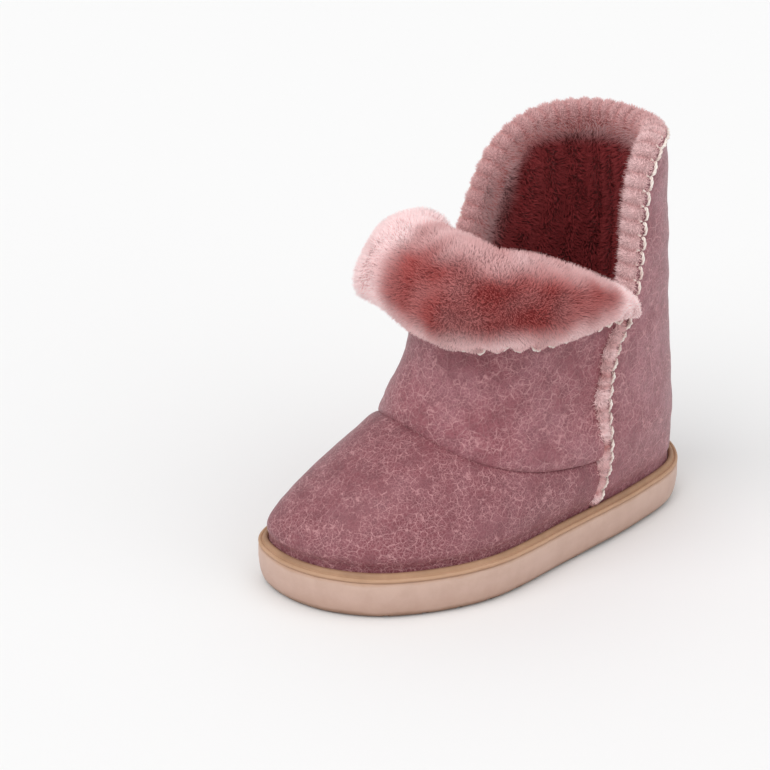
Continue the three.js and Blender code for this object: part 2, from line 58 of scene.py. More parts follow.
# %% [markdown]
# ## Camera, floor and light
# The boot is seen from its outer front corner, a little from above, through a long lens. Soft goods
# want soft light: one large key from the left front, a weaker fill, and a pale room all round.

# %% Camera
VIEW_AZIMUTH, VIEW_ELEVATION = math.radians(52.465), math.radians(24.779)
VIEW_DISTANCE = 0.8
AIM_RIGHT, AIM_UP = -0.0305, 0.0463
LENS = 120.5

right = Vector((math.cos(VIEW_AZIMUTH), math.sin(VIEW_AZIMUTH), 0))
back = Vector((
    math.sin(VIEW_AZIMUTH) * math.cos(VIEW_ELEVATION),
    -math.cos(VIEW_AZIMUTH) * math.cos(VIEW_ELEVATION),
    math.sin(VIEW_ELEVATION),
))
up = back.cross(right)
camera = bpy.data.objects.new("camera", bpy.data.cameras.new("camera"))
camera.data.lens = LENS
camera.rotation_mode = "QUATERNION"
camera.location = right * AIM_RIGHT + up * AIM_UP + back * VIEW_DISTANCE
camera.rotation_quaternion = (-back).to_track_quat("-Z", "Y")
bpy.context.scene.collection.objects.link(camera)
bpy.context.scene.camera = camera
print("camera at", [round(v, 3) for v in camera.location])

# %% Floor and light
FLOOR_SIZE = 6.0
PAPER = (0.845, 0.845, 0.845, 1)
ROOM_SEEN, ROOM_LIT = 1.0, 0.62  # how bright the room is to the camera, and as a light
scene = bpy.context.scene
scene.view_settings.view_transform = "Standard"


def new_material(name):
    material = bpy.data.materials.new(name)
    material.use_nodes = True
    return material, material.node_tree.nodes["Principled BSDF"]


floor_mesh = bpy.data.meshes.new("floor")
h = FLOOR_SIZE / 2
floor_mesh.from_pydata([(-h, -h, 0), (h, -h, 0), (h, h, 0), (-h, h, 0)], [], [(0, 1, 2, 3)])
floor = bpy.data.objects.new("floor", floor_mesh)
scene.collection.objects.link(floor)
paper, shader = new_material("floor_paper")
shader.inputs["Base Color"].default_value = PAPER
shader.inputs["Roughness"].default_value = 0.9
shader.inputs["Specular IOR Level"].default_value = 0.1
floor_mesh.materials.append(paper)


def soft_light(name, azimuth, elevation, strength, spread):
    """Even light from one direction, as from a big distant window; spread is how wide it is, in degrees."""
    data = bpy.data.lights.new(name, "SUN")
    data.energy, data.angle = strength, math.radians(spread)
    light = bpy.data.objects.new(name, data)
    a, e = math.radians(azimuth), math.radians(elevation)
    out = Vector((math.sin(a) * math.cos(e), -math.cos(a) * math.cos(e), math.sin(e)))
    light.location = out
    light.rotation_mode = "QUATERNION"
    light.rotation_quaternion = out.to_track_quat("Z", "Y")
    scene.collection.objects.link(light)


soft_light("key", 10, 50, 1.45, 50)
soft_light("fill", 110, 38, 0.62, 60)
soft_light("top", 200, 70, 0.30, 60)

world = bpy.data.worlds.new("studio")
scene.world = world
world.use_nodes = True
nodes, links = world.node_tree.nodes, world.node_tree.links
room = nodes["Background"]
room.inputs["Color"].default_value = (0.94, 0.94, 0.94, 1)
path = nodes.new("ShaderNodeLightPath")
strength = nodes.new("ShaderNodeMapRange")
strength.inputs["To Min"].default_value = ROOM_LIT
strength.inputs["To Max"].default_value = ROOM_SEEN
links.new(path.outputs["Is Camera Ray"], strength.inputs["Value"])
links.new(strength.outputs["Result"], room.inputs["Strength"])

# %% [markdown]
# ## The last: one formula for the boot's outer face
# A shoemaker shapes the upper over a last. Here the last is a formula: at each height the boot is a
# closed curve, the sole's own outline at the bottom and a rounded oval at the ankle, whose reach to
# the front, back and sides is given at a few heights. Everything soft is laid on this face.

# %% Outline of the sole
SOLE_OUTLINE = np.array([
    (-5, -74), (12.5, -68), (27, -52.5), (35.5, -25), (31.5, 10), (26.5, 41.5), (18.5, 64),
    (0.5, 73.5), (-18.5, 64.5), (-25, 42), (-24.5, 8), (-30.5, -28), (-28, -54.5), (-20.5, -70.5),
], float)
WELT_TOP, WELT_WIDTH = 14.6, 2.8
RIM_STEPS = 420


def closed_curve(points, steps):
    """Smooth closed curve through the points."""
    n = len(points)
    t = np.arange(steps) * n / steps
    i, u = t.astype(int), (t % 1)[:, None]
    a, b, c, d = (points[(i + k) % n] for k in (-1, 0, 1, 2))
    return 0.5 * (2 * b + (c - a) * u + (2 * a - 5 * b + 4 * c - d) * u**2 + (3 * b - a - 3 * c + d) * u**3)


def open_curve(points, steps):
    """Smooth open curve through the points, at even spacing."""
    points = np.asarray(points, float)
    padded = np.vstack([2 * points[0] - points[1], points, 2 * points[-1] - points[-2]])
    n = len(points) - 1
    t = np.linspace(0, n - 1e-9, 40 * n)
    i, u = t.astype(int), (t % 1)[:, None]
    a, b, c, d = (padded[i + k] for k in (0, 1, 2, 3))
    fine = 0.5 * (2 * b + (c - a) * u + (2 * a - 5 * b + 4 * c - d) * u**2 + (3 * b - a - 3 * c + d) * u**3)
    return even(fine, steps)


def even(points, steps):
    """The same path with its points at even spacing."""
    s = np.concatenate([[0], np.cumsum(np.linalg.norm(np.diff(points, axis=0), axis=1))])
    t = np.linspace(0, s[-1], steps)
    return np.stack([np.interp(t, s, points[:, k]) for k in range(points.shape[1])], axis=1)


rim = closed_curve(SOLE_OUTLINE, RIM_STEPS)
tangent = np.roll(rim, -1, 0) - np.roll(rim, 1, 0)
rim_out = np.stack([tangent[:, 1], -tangent[:, 0]], axis=1)
rim_out /= np.linalg.norm(rim_out, axis=1, keepdims=True)


def outline(inset, z):
    """Ring of points round the sole, moved inwards."""
    ring = rim - rim_out * inset
    return np.column_stack([ring, np.full(len(ring), float(z))])


print("sole", round(float(np.ptp(rim[:, 1])), 1), "mm long,", round(float(np.ptp(rim[:, 0])), 1), "mm wide")

# %% The upper's outer face
UPPER = {
    "z": (14.6, 19, 24, 30, 36, 42, 48, 60, 74, 96, 128),
    "front": (-70.9, -71.4, -68.3, -61, -51, -41, -32, -26.4, -22.2, -18, -14),
    "back": (70.4, 70.2, 69.5, 68.8, 68.1, 67.4, 66.7, 65.6, 64.3, 62, 58.7),
    "lateral": (32.4, 33, 32.6, 31, 29.5, 28.3, 27.3, 26.6, 26.3, 26.5, 26.5),
    "medial": (-27.4, -28, -28.4, -28, -27.3, -26.6, -26, -25.6, -25.3, -25, -24.5),
}
OUTLINE_FADES = (WELT_TOP, 40)
OVAL_POWER = 2.5


def along(keys, values, t):
    """Value at t on the smooth line through keys and values."""
    keys, values, t = np.asarray(keys, float), np.asarray(values, float), np.asarray(t, float)
    slope = np.empty_like(values)
    slope[1:-1] = (values[2:] - values[:-2]) / (keys[2:] - keys[:-2])
    slope[0] = (values[1] - values[0]) / (keys[1] - keys[0])
    slope[-1] = (values[-1] - values[-2]) / (keys[-1] - keys[-2])
    x = np.clip(t, keys[0], keys[-1])
    i = np.clip(np.searchsorted(keys, x, side="right") - 1, 0, len(keys) - 2)
    width = keys[i + 1] - keys[i]
    u = (x - keys[i]) / width
    return (
        values[i] * (1 + 2 * u) * (1 - u) ** 2 + slope[i] * width * u * (1 - u) ** 2
        + values[i + 1] * u * u * (3 - 2 * u) - slope[i + 1] * width * u * u * (1 - u)
    )


def smooth(x, start, end):
    u = np.clip((np.asarray(x, float) - start) / (end - start), 0, 1)
    return u * u * (3 - 2 * u)


def mix(a, b, t):
    return a + (b - a) * t


def reach(side, z):
    return along(UPPER["z"], UPPER[side], z)


base_ring = outline(WELT_WIDTH + 0.3, 0)[:, :2]
outer_end, inner_end, back_end, front_end = (UPPER[k][0] for k in ("lateral", "medial", "back", "front"))
ring_middle = np.array([(outer_end + inner_end) / 2, (back_end + front_end) / 2])
ring_half = np.array([(outer_end - inner_end) / 2, (back_end - front_end) / 2])
unit_ring = (base_ring - ring_middle) / ring_half
ring_angle = np.arctan2(unit_ring[:, 1], unit_ring[:, 0]) % TURN
ring_order = np.argsort(ring_angle)
ring_angle, ring_radius = ring_angle[ring_order], np.linalg.norm(unit_ring, axis=1)[ring_order]


def face(angle, z):
    """Point of the outer face, by angle round the leg (0 lateral, a quarter turn at the heel) and height."""
    angle, z = np.broadcast_arrays(np.asarray(angle, float), np.asarray(z, float))
    c, s = np.cos(angle), np.sin(angle)
    oval = (np.abs(c) ** OVAL_POWER + np.abs(s) ** OVAL_POWER) ** (-1 / OVAL_POWER)
    sole = np.interp(angle % TURN, ring_angle, ring_radius, period=TURN)
    radius = mix(sole, oval, smooth(z, *OUTLINE_FADES))
    lateral, medial, front, heel = (reach(k, z) for k in ("lateral", "medial", "front", "back"))
    x = (lateral + medial) / 2 + radius * c * (lateral - medial) / 2
    y = (front + heel) / 2 + radius * s * (heel - front) / 2
    return np.stack([x, y, z], axis=-1)


def face_normal(angle, z, level=False):
    across = face(angle + 0.02, z) - face(angle - 0.02, z)
    rise = face(angle, z + 0.5) - face(angle, z - 0.5)
    normal = np.cross(across, rise)
    if level:
        normal[..., 2] = 0
    return normal / np.linalg.norm(normal, axis=-1, keepdims=True)


def on_face(angle, z, lift):
    """Point lifted off the outer face; a negative lift is inside the boot."""
    return face(angle, z) + face_normal(angle, z) * np.asarray(lift)[..., None]


def angle_at(y, z, side):
    """Angle on one side (+1 lateral, -1 medial) where the face reaches y."""
    y, z = np.broadcast_arrays(np.asarray(y, float), np.asarray(z, float))
    low, high = np.full(y.shape, -math.pi / 2), np.full(y.shape, math.pi / 2)
    for _ in range(34):
        middle = (low + high) / 2
        short = face(middle if side > 0 else math.pi - middle, z)[..., 1] < y
        low, high = np.where(short, middle, low), np.where(short, high, middle)
    return low if side > 0 else math.pi - low


def front_angle_at(x, z):
    low, high = math.pi, TURN
    for _ in range(34):
        middle = (low + high) / 2
        if float(face(middle, z)[0]) < x:
            low = middle
        else:
            high = middle
    return low


# %% Seams and edges on the face
LATERAL_EDGE = np.array([
    (21.5, 4), (22, 18), (23.8, 29), (23.6, 45), (25.2, 57), (28, 66), (33, 73.5), (36, 81), (37.4, 94),
    (38.6, 108), (41, 117), (46, 123.6), (54, 125.5),
], float)
MEDIAL_EDGE = np.array([
    (13, 4), (11, 22), (7.5, 42), (4, 60), (2.2, 73.5), (4.5, 84), (9.4, 96), (15, 108), (21, 116.5),
    (30, 122), (42, 124.8), (54, 125.5),
], float)
COLLAR_TOP, CREASE_Z = 125.5, 75.0
VAMP_SEAM = np.array([
    (-60, 62), (-34, 48.5), (-27, 43.6), (-18, 39), (-5, 34.6), (7, 32), (22, 30.3), (60, 30),
], float)
EDGES = {1: LATERAL_EDGE, -1: MEDIAL_EDGE}
table_z = np.linspace(4, COLLAR_TOP, 240)


def edge_angles(side, shift):
    """Angle of the rear skin's edge, moved forwards by shift, at each height of table_z."""
    edge = open_curve(EDGES[side], 300)
    y = np.interp(table_z, edge[:, 1], edge[:, 0]) - shift
    return angle_at(y, table_z, side)


edge_cache = {}


def edge_angle(side, z, shift=0.0):
    key = (side, round(shift, 2))
    if key not in edge_cache:
        edge_cache[key] = edge_angles(side, shift)
    return np.interp(z, table_z, edge_cache[key])


def rear_angle(u, z, shift=0.0):
    return mix(edge_angle(1, z, shift), edge_angle(-1, z, shift), u)


def front_angle(u, z, shift=0.0):
    return mix(edge_angle(-1, z, shift), edge_angle(1, z, shift) + TURN, u)


def seam_height(u, shift):
    """Height of the vamp seam on each line of the front skin."""
    low, high = np.full(u.shape, 18.0), np.full(u.shape, 60.0)
    for _ in range(34):
        z = (low + high) / 2
        y = face(front_angle(u, z, shift), z)[..., 1]
        under = z < along(VAMP_SEAM[:, 0], VAMP_SEAM[:, 1], y)
        low, high = np.where(under, z, low), np.where(under, high, z)
    return low


print("vamp seam from", round(float(seam_height(np.array([0.5]), 2.9)[0]), 1), "mm in front")

# %% [markdown]
# ## Mesh and material helpers
# Most pieces are grids of points laid on the last, so one helper turns a grid into a mesh. The
# pile, the crackle and the mottling are shared looks; the crackle is a shader node group, built once and
# used by each leather material.

# %% Mesh helpers
def mesh_object(name, vertices, faces, shade_smooth=True):
    """New object from points in millimetres."""
    mesh = bpy.data.meshes.new(name)
    mesh.from_pydata([tuple(v) for v in np.asarray(vertices, float) * MM], [], faces)
    mesh.update()
    if shade_smooth:
        mesh.polygons.foreach_set("use_smooth", [True] * len(mesh.polygons))
    piece = bpy.data.objects.new(name, mesh)
    scene.collection.objects.link(piece)
    return piece


def grid_faces(rows, columns, closed=False, start=0):
    """Quads over a grid of points that is stored row by row."""
    last = columns if closed else columns - 1
    return [
        (start + r * columns + c, start + r * columns + (c + 1) % columns,
         start + (r + 1) * columns + (c + 1) % columns, start + (r + 1) * columns + c)
        for r in range(rows - 1) for c in range(last)
    ]


def grid_object(name, points, closed=False):
    """Object from an array of points, rows by columns by three."""
    rows, columns = points.shape[:2]
    return mesh_object(name, points.reshape(-1, 3), grid_faces(rows, columns, closed))


def face_outwards(piece):
    mesh = piece.data
    shape = bmesh.new()
    shape.from_mesh(mesh)
    bmesh.ops.remove_doubles(shape, verts=shape.verts, dist=1e-6)
    bmesh.ops.recalc_face_normals(shape, faces=shape.faces)
    shape.to_mesh(mesh)
    shape.free()
    return piece


def thicken(piece, thickness):
    """Give a skin its thickness, inwards from the points that were laid out."""
    solidify = piece.modifiers.new("thickness", "SOLIDIFY")
    solidify.thickness = thickness * MM
    solidify.offset = -1.0
    return piece


def refine(piece, levels=1):
    subdivision = piece.modifiers.new("rounding", "SUBSURF")
    subdivision.levels = subdivision.render_levels = levels
    return piece


def settle(piece):
    """Turn an object with modifiers into a plain mesh object."""
    depsgraph = bpy.context.evaluated_depsgraph_get()
    mesh = bpy.data.meshes.new_from_object(piece.evaluated_get(depsgraph), depsgraph=depsgraph)
    label = mesh.name = piece.name
    plain = bpy.data.objects.new(label, mesh)
    scene.collection.objects.link(plain)
    bpy.data.objects.remove(piece)
    plain.name = label
    return plain


def paint(piece, material):
    piece.data.materials.clear()
    piece.data.materials.append(material)
    return piece


def point_values(piece, name, values):
    piece.data.attributes.new(name, "FLOAT", "POINT").data.foreach_set("value", np.asarray(values, float))


def wander(points, size, seed):
    """Smooth noise, about -1 to 1, at points in millimetres."""
    offset = Vector((seed * 17.3, seed * 5.1, seed * 9.7))
    flat = points.reshape(-1, 3)
    values = [noise.noise(Vector(p) / size + offset) for p in flat]
    return np.array(values).reshape(points.shape[:-1])


# %% Shader helpers
def new_group(name, inputs, outputs):
    """Empty shader group: inputs are (name, kind, default), outputs are (name, kind)."""
    tree = bpy.data.node_groups.new(name, "ShaderNodeTree")
    for label, kind, default in inputs:
        socket = tree.interface.new_socket(label, in_out="INPUT", socket_type=kind)
        if default is not None:
            socket.default_value = default
    for label, kind in outputs:
        tree.interface.new_socket(label, in_out="OUTPUT", socket_type=kind)
    return tree, tree.nodes.new("NodeGroupInput"), tree.nodes.new("NodeGroupOutput")


NUMBER, VECTOR = "NodeSocketFloat", "NodeSocketVector"


class Wiring:
    """Short ways to add and join nodes in one tree."""

    def __init__(self, tree):
        self.tree = tree

    def node(self, kind, **sockets):
        made = self.tree.nodes.new(kind)
        for name, value in sockets.items():
            self.feed(made.inputs[name.replace("_", " ")], value)
        return made

    def feed(self, socket, value):
        if isinstance(value, bpy.types.NodeSocket):
            self.tree.links.new(value, socket)
        else:
            socket.default_value = value

    def math(self, operation, a, b=0.0, clamp=False):
        made = self.tree.nodes.new("ShaderNodeMath")
        made.operation, made.use_clamp = operation, clamp
        self.feed(made.inputs[0], a)
        self.feed(made.inputs[1], b)
        return made.outputs[0]

    def mix(self, share, a, b):
        made = self.tree.nodes.new("ShaderNodeMix")
        made.data_type, made.blend_type, made.clamp_factor = "RGBA", "MIX", True
        self.feed(made.inputs[0], share)
        self.feed(made.inputs[6], a)
        self.feed(made.inputs[7], b)
        return made.outputs[2]

    def band(self, value, low, high, start=0.0, end=1.0):
        """Value mapped smoothly from low..high to start..end."""
        made = self.tree.nodes.new("ShaderNodeMapRange")
        made.interpolation_type = "SMOOTHSTEP"
        for name, given in (("From Min", low), ("From Max", high), ("To Min", start), ("To Max", end)):
            made.inputs[name].default_value = given
        self.feed(made.inputs["Value"], value)
        return made.outputs["Result"]

    def noise(self, vector, scale, detail=3.0, roughness=0.5, distortion=0.0):
        made = self.node("ShaderNodeTexNoise", Scale=scale, Detail=detail, Roughness=roughness)
        made.inputs["Distortion"].default_value = distortion
        self.feed(made.inputs["Vector"], vector)
        return made.outputs["Fac"]

    def bump(self, height, strength, distance, normal=None):
        made = self.node("ShaderNodeBump", Strength=strength, Distance=distance, Height=height)
        if normal is not None:
            self.feed(made.inputs["Normal"], normal)
        return made.outputs["Normal"]

    def position(self):
        return self.tree.nodes.new("ShaderNodeTexCoord").outputs["Object"]

    def attribute(self, name):
        made = self.tree.nodes.new("ShaderNodeAttribute")
        made.attribute_name = name
        return made.outputs["Fac"]


def srgb(red, green, blue):
    """Colour from screen values of 0 to 255."""
    def linear(value):
        value /= 255
        return value / 12.92 if value <= 0.04045 else ((value + 0.055) / 1.055) ** 2.4
    return (linear(red), linear(green), linear(blue), 1)


def start_material(name, roughness, specular=0.5):
    material, shader = new_material(name)
    shader.inputs["Roughness"].default_value = roughness
    shader.inputs["Specular IOR Level"].default_value = specular
    return material, shader, Wiring(material.node_tree)


# %% [markdown]
# ## Crackled leather
# The skin is dyed dark, then finished with a thin paler coat that cracks as it is stretched over the
# last. Up close it is a mosaic of small plates, a few to the centimetre, parted by fine pale lines,
# with darker dye pooled in flecks. Two sizes of Voronoi edges, bent by noise so that no line is
# straight, make the network; slower noise breaks it up so that some places are nearly plain.

# %% Crackle group
crackle, given, result = new_group(
    "crackle",
    [("Vector", VECTOR, None), ("Plate Size", NUMBER, 0.004), ("Bend", NUMBER, 0.2), ("Wear", NUMBER, 0.5)],
    [("Lines", NUMBER), ("Fine", NUMBER), ("Flecks", NUMBER), ("Height", NUMBER)],
)
w = Wiring(crackle)
scaled = w.node("ShaderNodeVectorMath")
scaled.operation = "DIVIDE"
w.feed(scaled.inputs[0], given.outputs["Vector"])
w.feed(scaled.inputs[1], given.outputs["Plate Size"])
place = scaled.outputs["Vector"]
drift = w.node("ShaderNodeTexNoise", Vector=place, Scale=1.3, Detail=3.0, Roughness=0.6)
centred = w.node("ShaderNodeVectorMath")
centred.operation = "SUBTRACT"
w.feed(centred.inputs[0], drift.outputs["Color"])
centred.inputs[1].default_value = (0.5, 0.5, 0.5)
pushed = w.node("ShaderNodeVectorMath")
pushed.operation = "SCALE"
w.feed(pushed.inputs[0], centred.outputs["Vector"])
w.feed(pushed.inputs["Scale"], w.math("MULTIPLY", given.outputs["Bend"], 3.0))
bent = w.node("ShaderNodeVectorMath")
bent.operation = "ADD"
w.feed(bent.inputs[0], place)
w.feed(bent.inputs[1], pushed.outputs["Vector"])


def crack_lines(scale, width):
    cells = w.node("ShaderNodeTexVoronoi", Vector=bent.outputs["Vector"], Scale=scale, Randomness=1.0)
    cells.feature = "DISTANCE_TO_EDGE"
    return w.band(cells.outputs["Distance"], 0.0, width, 1.0, 0.0)


patchy = w.band(w.noise(place, 0.35, 4.0, 0.6), 0.36, 0.6)
worn = w.math("MULTIPLY", w.math("ADD", patchy, 0.35, clamp=True), w.math("ADD", given.outputs["Wear"], 0.5))
coarse_lines = crack_lines(1.0, 0.065)
fine_lines = crack_lines(2.7, 0.11)
gaps = w.band(w.noise(place, 1.7, 2.0), 0.4, 0.56)
broken_lines = w.math("MULTIPLY", coarse_lines, worn)
w.feed(result.inputs["Lines"], w.math("MULTIPLY", broken_lines, w.math("ADD", gaps, 0.3), clamp=True))
w.feed(result.inputs["Fine"], w.math("MULTIPLY", w.math("MULTIPLY", fine_lines, worn), 0.7, clamp=True))
fleck_noise = w.noise(place, 5.5, 4.0, 0.75)
w.feed(result.inputs["Flecks"], w.band(fleck_noise, 0.52, 0.68))
lumps = w.noise(place, 2.2, 4.0, 0.6)
height = w.math("SUBTRACT", w.math("MULTIPLY", lumps, 0.8), w.math("MULTIPLY", coarse_lines, 0.5))
w.feed(result.inputs["Height"], w.math("SUBTRACT", height, w.math("MULTIPLY", fine_lines, 0.2)))

# %% Leather material
LEATHER_BASE = srgb(140, 75, 84)
LEATHER_PALE = srgb(164, 112, 121)
LEATHER_DEEP = srgb(102, 50, 58)
LEATHER_LINE = srgb(196, 142, 145)


def leather_material(name, plate, lighten=0.0, wear=0.5, deepen=0.0):
    """Crackled nappa; lighten turns the skin paler, as painted light, and below zero darker, as painted shade;
    deepen turns it darker, as painted shade.
    """
    material, shader, w = start_material(name, 0.46, 0.42)
    position = w.position()
    group = w.node("ShaderNodeGroup")
    group.node_tree = crackle
    w.feed(group.inputs["Vector"], position)
    group.inputs["Plate Size"].default_value = plate
    group.inputs["Wear"].default_value = wear
    broad = w.band(w.noise(position, 55.0, 4.0, 0.6), 0.36, 0.66)
    share = w.math("ADD", w.math("MULTIPLY", broad, 0.55), lighten, clamp=True)
    colour = w.mix(share, LEATHER_BASE, LEATHER_PALE)
    colour = w.mix(deepen, colour, LEATHER_DEEP)
    cloud = w.band(w.noise(position, 240.0, 5.0, 0.7), 0.4, 0.64)
    colour = w.mix(w.math("MULTIPLY", cloud, 0.42), colour, LEATHER_DEEP)
    colour = w.mix(w.math("MULTIPLY", group.outputs["Flecks"], 0.75), colour, LEATHER_DEEP)
    colour = w.mix(w.math("MULTIPLY", group.outputs["Fine"], 0.7), colour, LEATHER_LINE)
    colour = w.mix(w.math("MULTIPLY", group.outputs["Lines"], 0.72), colour, LEATHER_LINE)
    w.feed(shader.inputs["Base Color"], colour)
    w.feed(shader.inputs["Roughness"], w.band(group.outputs["Flecks"], 0.0, 1.0, 0.44, 0.62))
    pores = w.noise(position, 2600.0, 2.0, 0.5)
    normal = w.bump(group.outputs["Height"], 0.55, 0.0004)
    w.feed(shader.inputs["Normal"], w.bump(pores, 0.16, 0.00012, normal))
    shader.inputs["Sheen Weight"].default_value = 0.08
    return material


# The vamp is painted darker, through lighten below zero and deepen: painted shade.
vamp_leather = leather_material("crackled_leather_vamp", 0.0024, lighten=-0.3, wear=0.65, deepen=0.3)
shaft_leather = leather_material("crackled_leather_shaft", 0.0031, lighten=0.04, wear=0.6)
# The rear skin is painted paler through lighten: painted light, as on a rear quarter lit from both sides.
rear_leather_painted_light = leather_material("crackled_leather_rear", 0.0038, lighten=0.3, wear=0.4)
print("leather colours ready")

# %% [markdown]
# ## Wool
# The pile is thousands of fine locks, dark rose at the root and nearly white-pink at the sheared tip,
# so the wool looks deepest where one sees between the locks. Each lock of the mesh carries its own
# height (root 0, tip 1), a random tone and a "pale" share for the cut edges, as attributes. Light
# scatters from fibre to fibre in a real pile; a faint glow in the wool's own colour stands for that.

# %% Wool material
WOOL_ROOT = srgb(112, 42, 43)
WOOL_MIDDLE = srgb(140, 60, 59)
WOOL_TIP = srgb(172, 90, 87)
WOOL_PALE = srgb(248, 219, 219)


def wool_material(name, root, middle, tip, pale, scattered):
    """Wool whose locks glow a little: scattered stands for the light a pile passes on inside itself."""
    material, shader, w = start_material(name, 0.85, 0.15)
    height, tone, edge = w.attribute("lock_height"), w.attribute("lock_tone"), w.attribute("lock_pale")
    low = w.mix(w.band(height, 0.0, 0.35), root, middle)
    body = w.mix(w.band(height, 0.25, 0.75), low, tip)
    whitened = w.math("MULTIPLY", edge, w.band(height, 0.0, 0.4, 0.62, 1.0), clamp=True)
    body = w.mix(whitened, body, pale)
    body = w.mix(w.math("MULTIPLY", tone, 0.18), body, middle)
    w.feed(shader.inputs["Base Color"], body)
    w.feed(shader.inputs["Emission Color"], body)
    shader.inputs["Emission Strength"].default_value = scattered
    shader.inputs["Sheen Weight"].default_value = 0.06
    shader.inputs["Sheen Roughness"].default_value = 0.6
    shader.inputs["Sheen Tint"].default_value = (1.0, 0.78, 0.76, 1)
    return material


wool = wool_material("rose_wool", WOOL_ROOT, WOOL_MIDDLE, WOOL_TIP, WOOL_PALE, 0.36)
# A darker copy of the rose wool, root to tip, with less glow: painted shade inside the boot.
shaded_inner_wool = wool_material(
    "rose_wool_inside", srgb(80, 22, 26), srgb(124, 42, 45), srgb(156, 62, 64), WOOL_PALE, 0.12
)


def matted_material(name, dark, light, scattered=0.0):
    """The felted ground of the pile, seen only between the locks."""
    material, shader, w = start_material(name, 0.95, 0.05)
    position = w.position()
    curls = w.node("ShaderNodeTexVoronoi", Vector=position, Scale=420.0, Randomness=1.0)
    curls.feature = "SMOOTH_F1"
    fibres = w.noise(position, 900.0, 5.0, 0.7, 1.5)
    share = w.math("MULTIPLY", w.band(curls.outputs["Distance"], 0.1, 0.7, 1.0, 0.0), w.band(fibres, 0.3, 0.7))
    colour = w.mix(w.math("MULTIPLY", w.attribute("lock_pale"), 0.7), w.mix(share, dark, light), WOOL_PALE)
    w.feed(shader.inputs["Base Color"], colour)
    w.feed(shader.inputs["Emission Color"], colour)
    shader.inputs["Emission Strength"].default_value = scattered
    height = w.math("ADD", share, w.math("MULTIPLY", fibres, 0.5))
    w.feed(shader.inputs["Normal"], w.bump(height, 0.8, 0.0009))
    shader.inputs["Sheen Weight"].default_value = 0.2
    return material


wool_ground = matted_material("wool_ground", srgb(110, 36, 38), srgb(168, 86, 82))
glowing_ground = matted_material("wool_ground_lit", srgb(124, 46, 47), srgb(168, 86, 82), 0.22)
print("wool colours ready")

# %% [markdown]
# ## The cup sole
# One moulded piece of thermoplastic rubber: a smooth satin wall round the foot, a softened lower edge
# and a waist lifted off the ground before the heel. It is made by sweeping one profile, drawn as how
# far each height lies inside the outline, round the outline. Tread grooves are cut with a boolean.

# %% Sole mesh
WALL = [
    (3.6, 0), (3.0, 0.02), (2.4, 0.3), (1.75, 0.95), (1.2, 1.75), (0.85, 2.6), (0.5, 3.9), (0.2, 5.8),
    (0.0, 8.0), (0.0, 9.8), (0.06, 11.3), (0.3, 12.1), (0.9, 12.4), (2.8, 12.4), (2.9, 12.2), (2.9, 5.4),
]


def swept_cup(name, profile):
    """Closed solid: the profile carried round the outline, with a lid on its first and last ring."""
    rings = np.array([outline(inset, z) for inset, z in profile])
    rows, columns = rings.shape[:2]
    faces = grid_faces(rows, columns, closed=True)
    faces += [tuple(range(columns))[::-1], tuple(range((rows - 1) * columns, rows * columns))]
    return mesh_object(name, rings.reshape(-1, 3), faces)


def block(corners_low, corners_high):
    (x0, y0, z0), (x1, y1, z1) = corners_low, corners_high
    points = [(x, y, z) for z in (z0, z1) for x, y in ((x0, y0), (x1, y0), (x1, y1), (x0, y1))]
    faces = [(3, 2, 1, 0), (4, 5, 6, 7), (0, 1, 5, 4), (1, 2, 6, 5), (2, 3, 7, 6), (3, 0, 4, 7)]
    return points, faces


GROOVES = [-56, -46, -36, -26, -16, -6, 39, 48, 57]
GROOVE_DEPTH, GROOVE_WIDTH = 0.9, 1.6
WAIST = [(12, -1), (12.6, 0.15), (15, 0.85), (19.5, 1.1), (28.5, 1.1), (30.2, 0.5), (31, -1)]

sole = face_outwards(swept_cup("outsole", WALL))
points, faces = [], []
for y in GROOVES:
    more, sides = block((-60, y, -5), (60, y + GROOVE_WIDTH, GROOVE_DEPTH))
    faces += [tuple(i + len(points) for i in side) for side in sides]
    points += more
count, start = len(WAIST), len(points)
points += [(x, y, z) for x in (-60, 60) for y, z in WAIST]
faces += [(start + i, start + i + 1, start + count + i + 1, start + count + i) for i in range(count - 1)]
faces += [(start + count - 1, start, start + count, start + 2 * count - 1)]
faces += [tuple(range(start + count - 1, start - 1, -1)), tuple(range(start + count, start + 2 * count))]
cutter = face_outwards(mesh_object("tread_cutter", points, faces, shade_smooth=False))
cut = sole.modifiers.new("tread", "BOOLEAN")
cut.operation, cut.solver, cut.object = "DIFFERENCE", "EXACT", cutter
sole = settle(sole)
bpy.data.objects.remove(cutter)
print("outsole", len(sole.data.polygons), "faces")

# %% [markdown]
# The welt is the tan band that hides the join of sole and leather. It has a round outer lip, a fine
# groove, and an inner slope that meets the leather, so its profile is a small closed loop.

# %% Welt mesh
WELT = [
    (0.35, 12.3), (0.08, 12.55), (0.0, 12.95), (0.1, 13.35), (0.4, 13.62), (0.75, 13.66),
    (0.98, 13.5), (1.1, 13.3), (1.22, 13.3), (1.36, 13.55), (1.55, 14.05), (1.85, 14.45),
    (2.25, 14.62), (2.75, 14.5), (3.1, 13.9), (3.1, 12.3),
]
rings = np.array([outline(inset, z) for inset, z in WELT + WELT[:1]])
welt = face_outwards(grid_object("welt", rings, closed=True))
print("welt", len(welt.data.polygons), "faces")
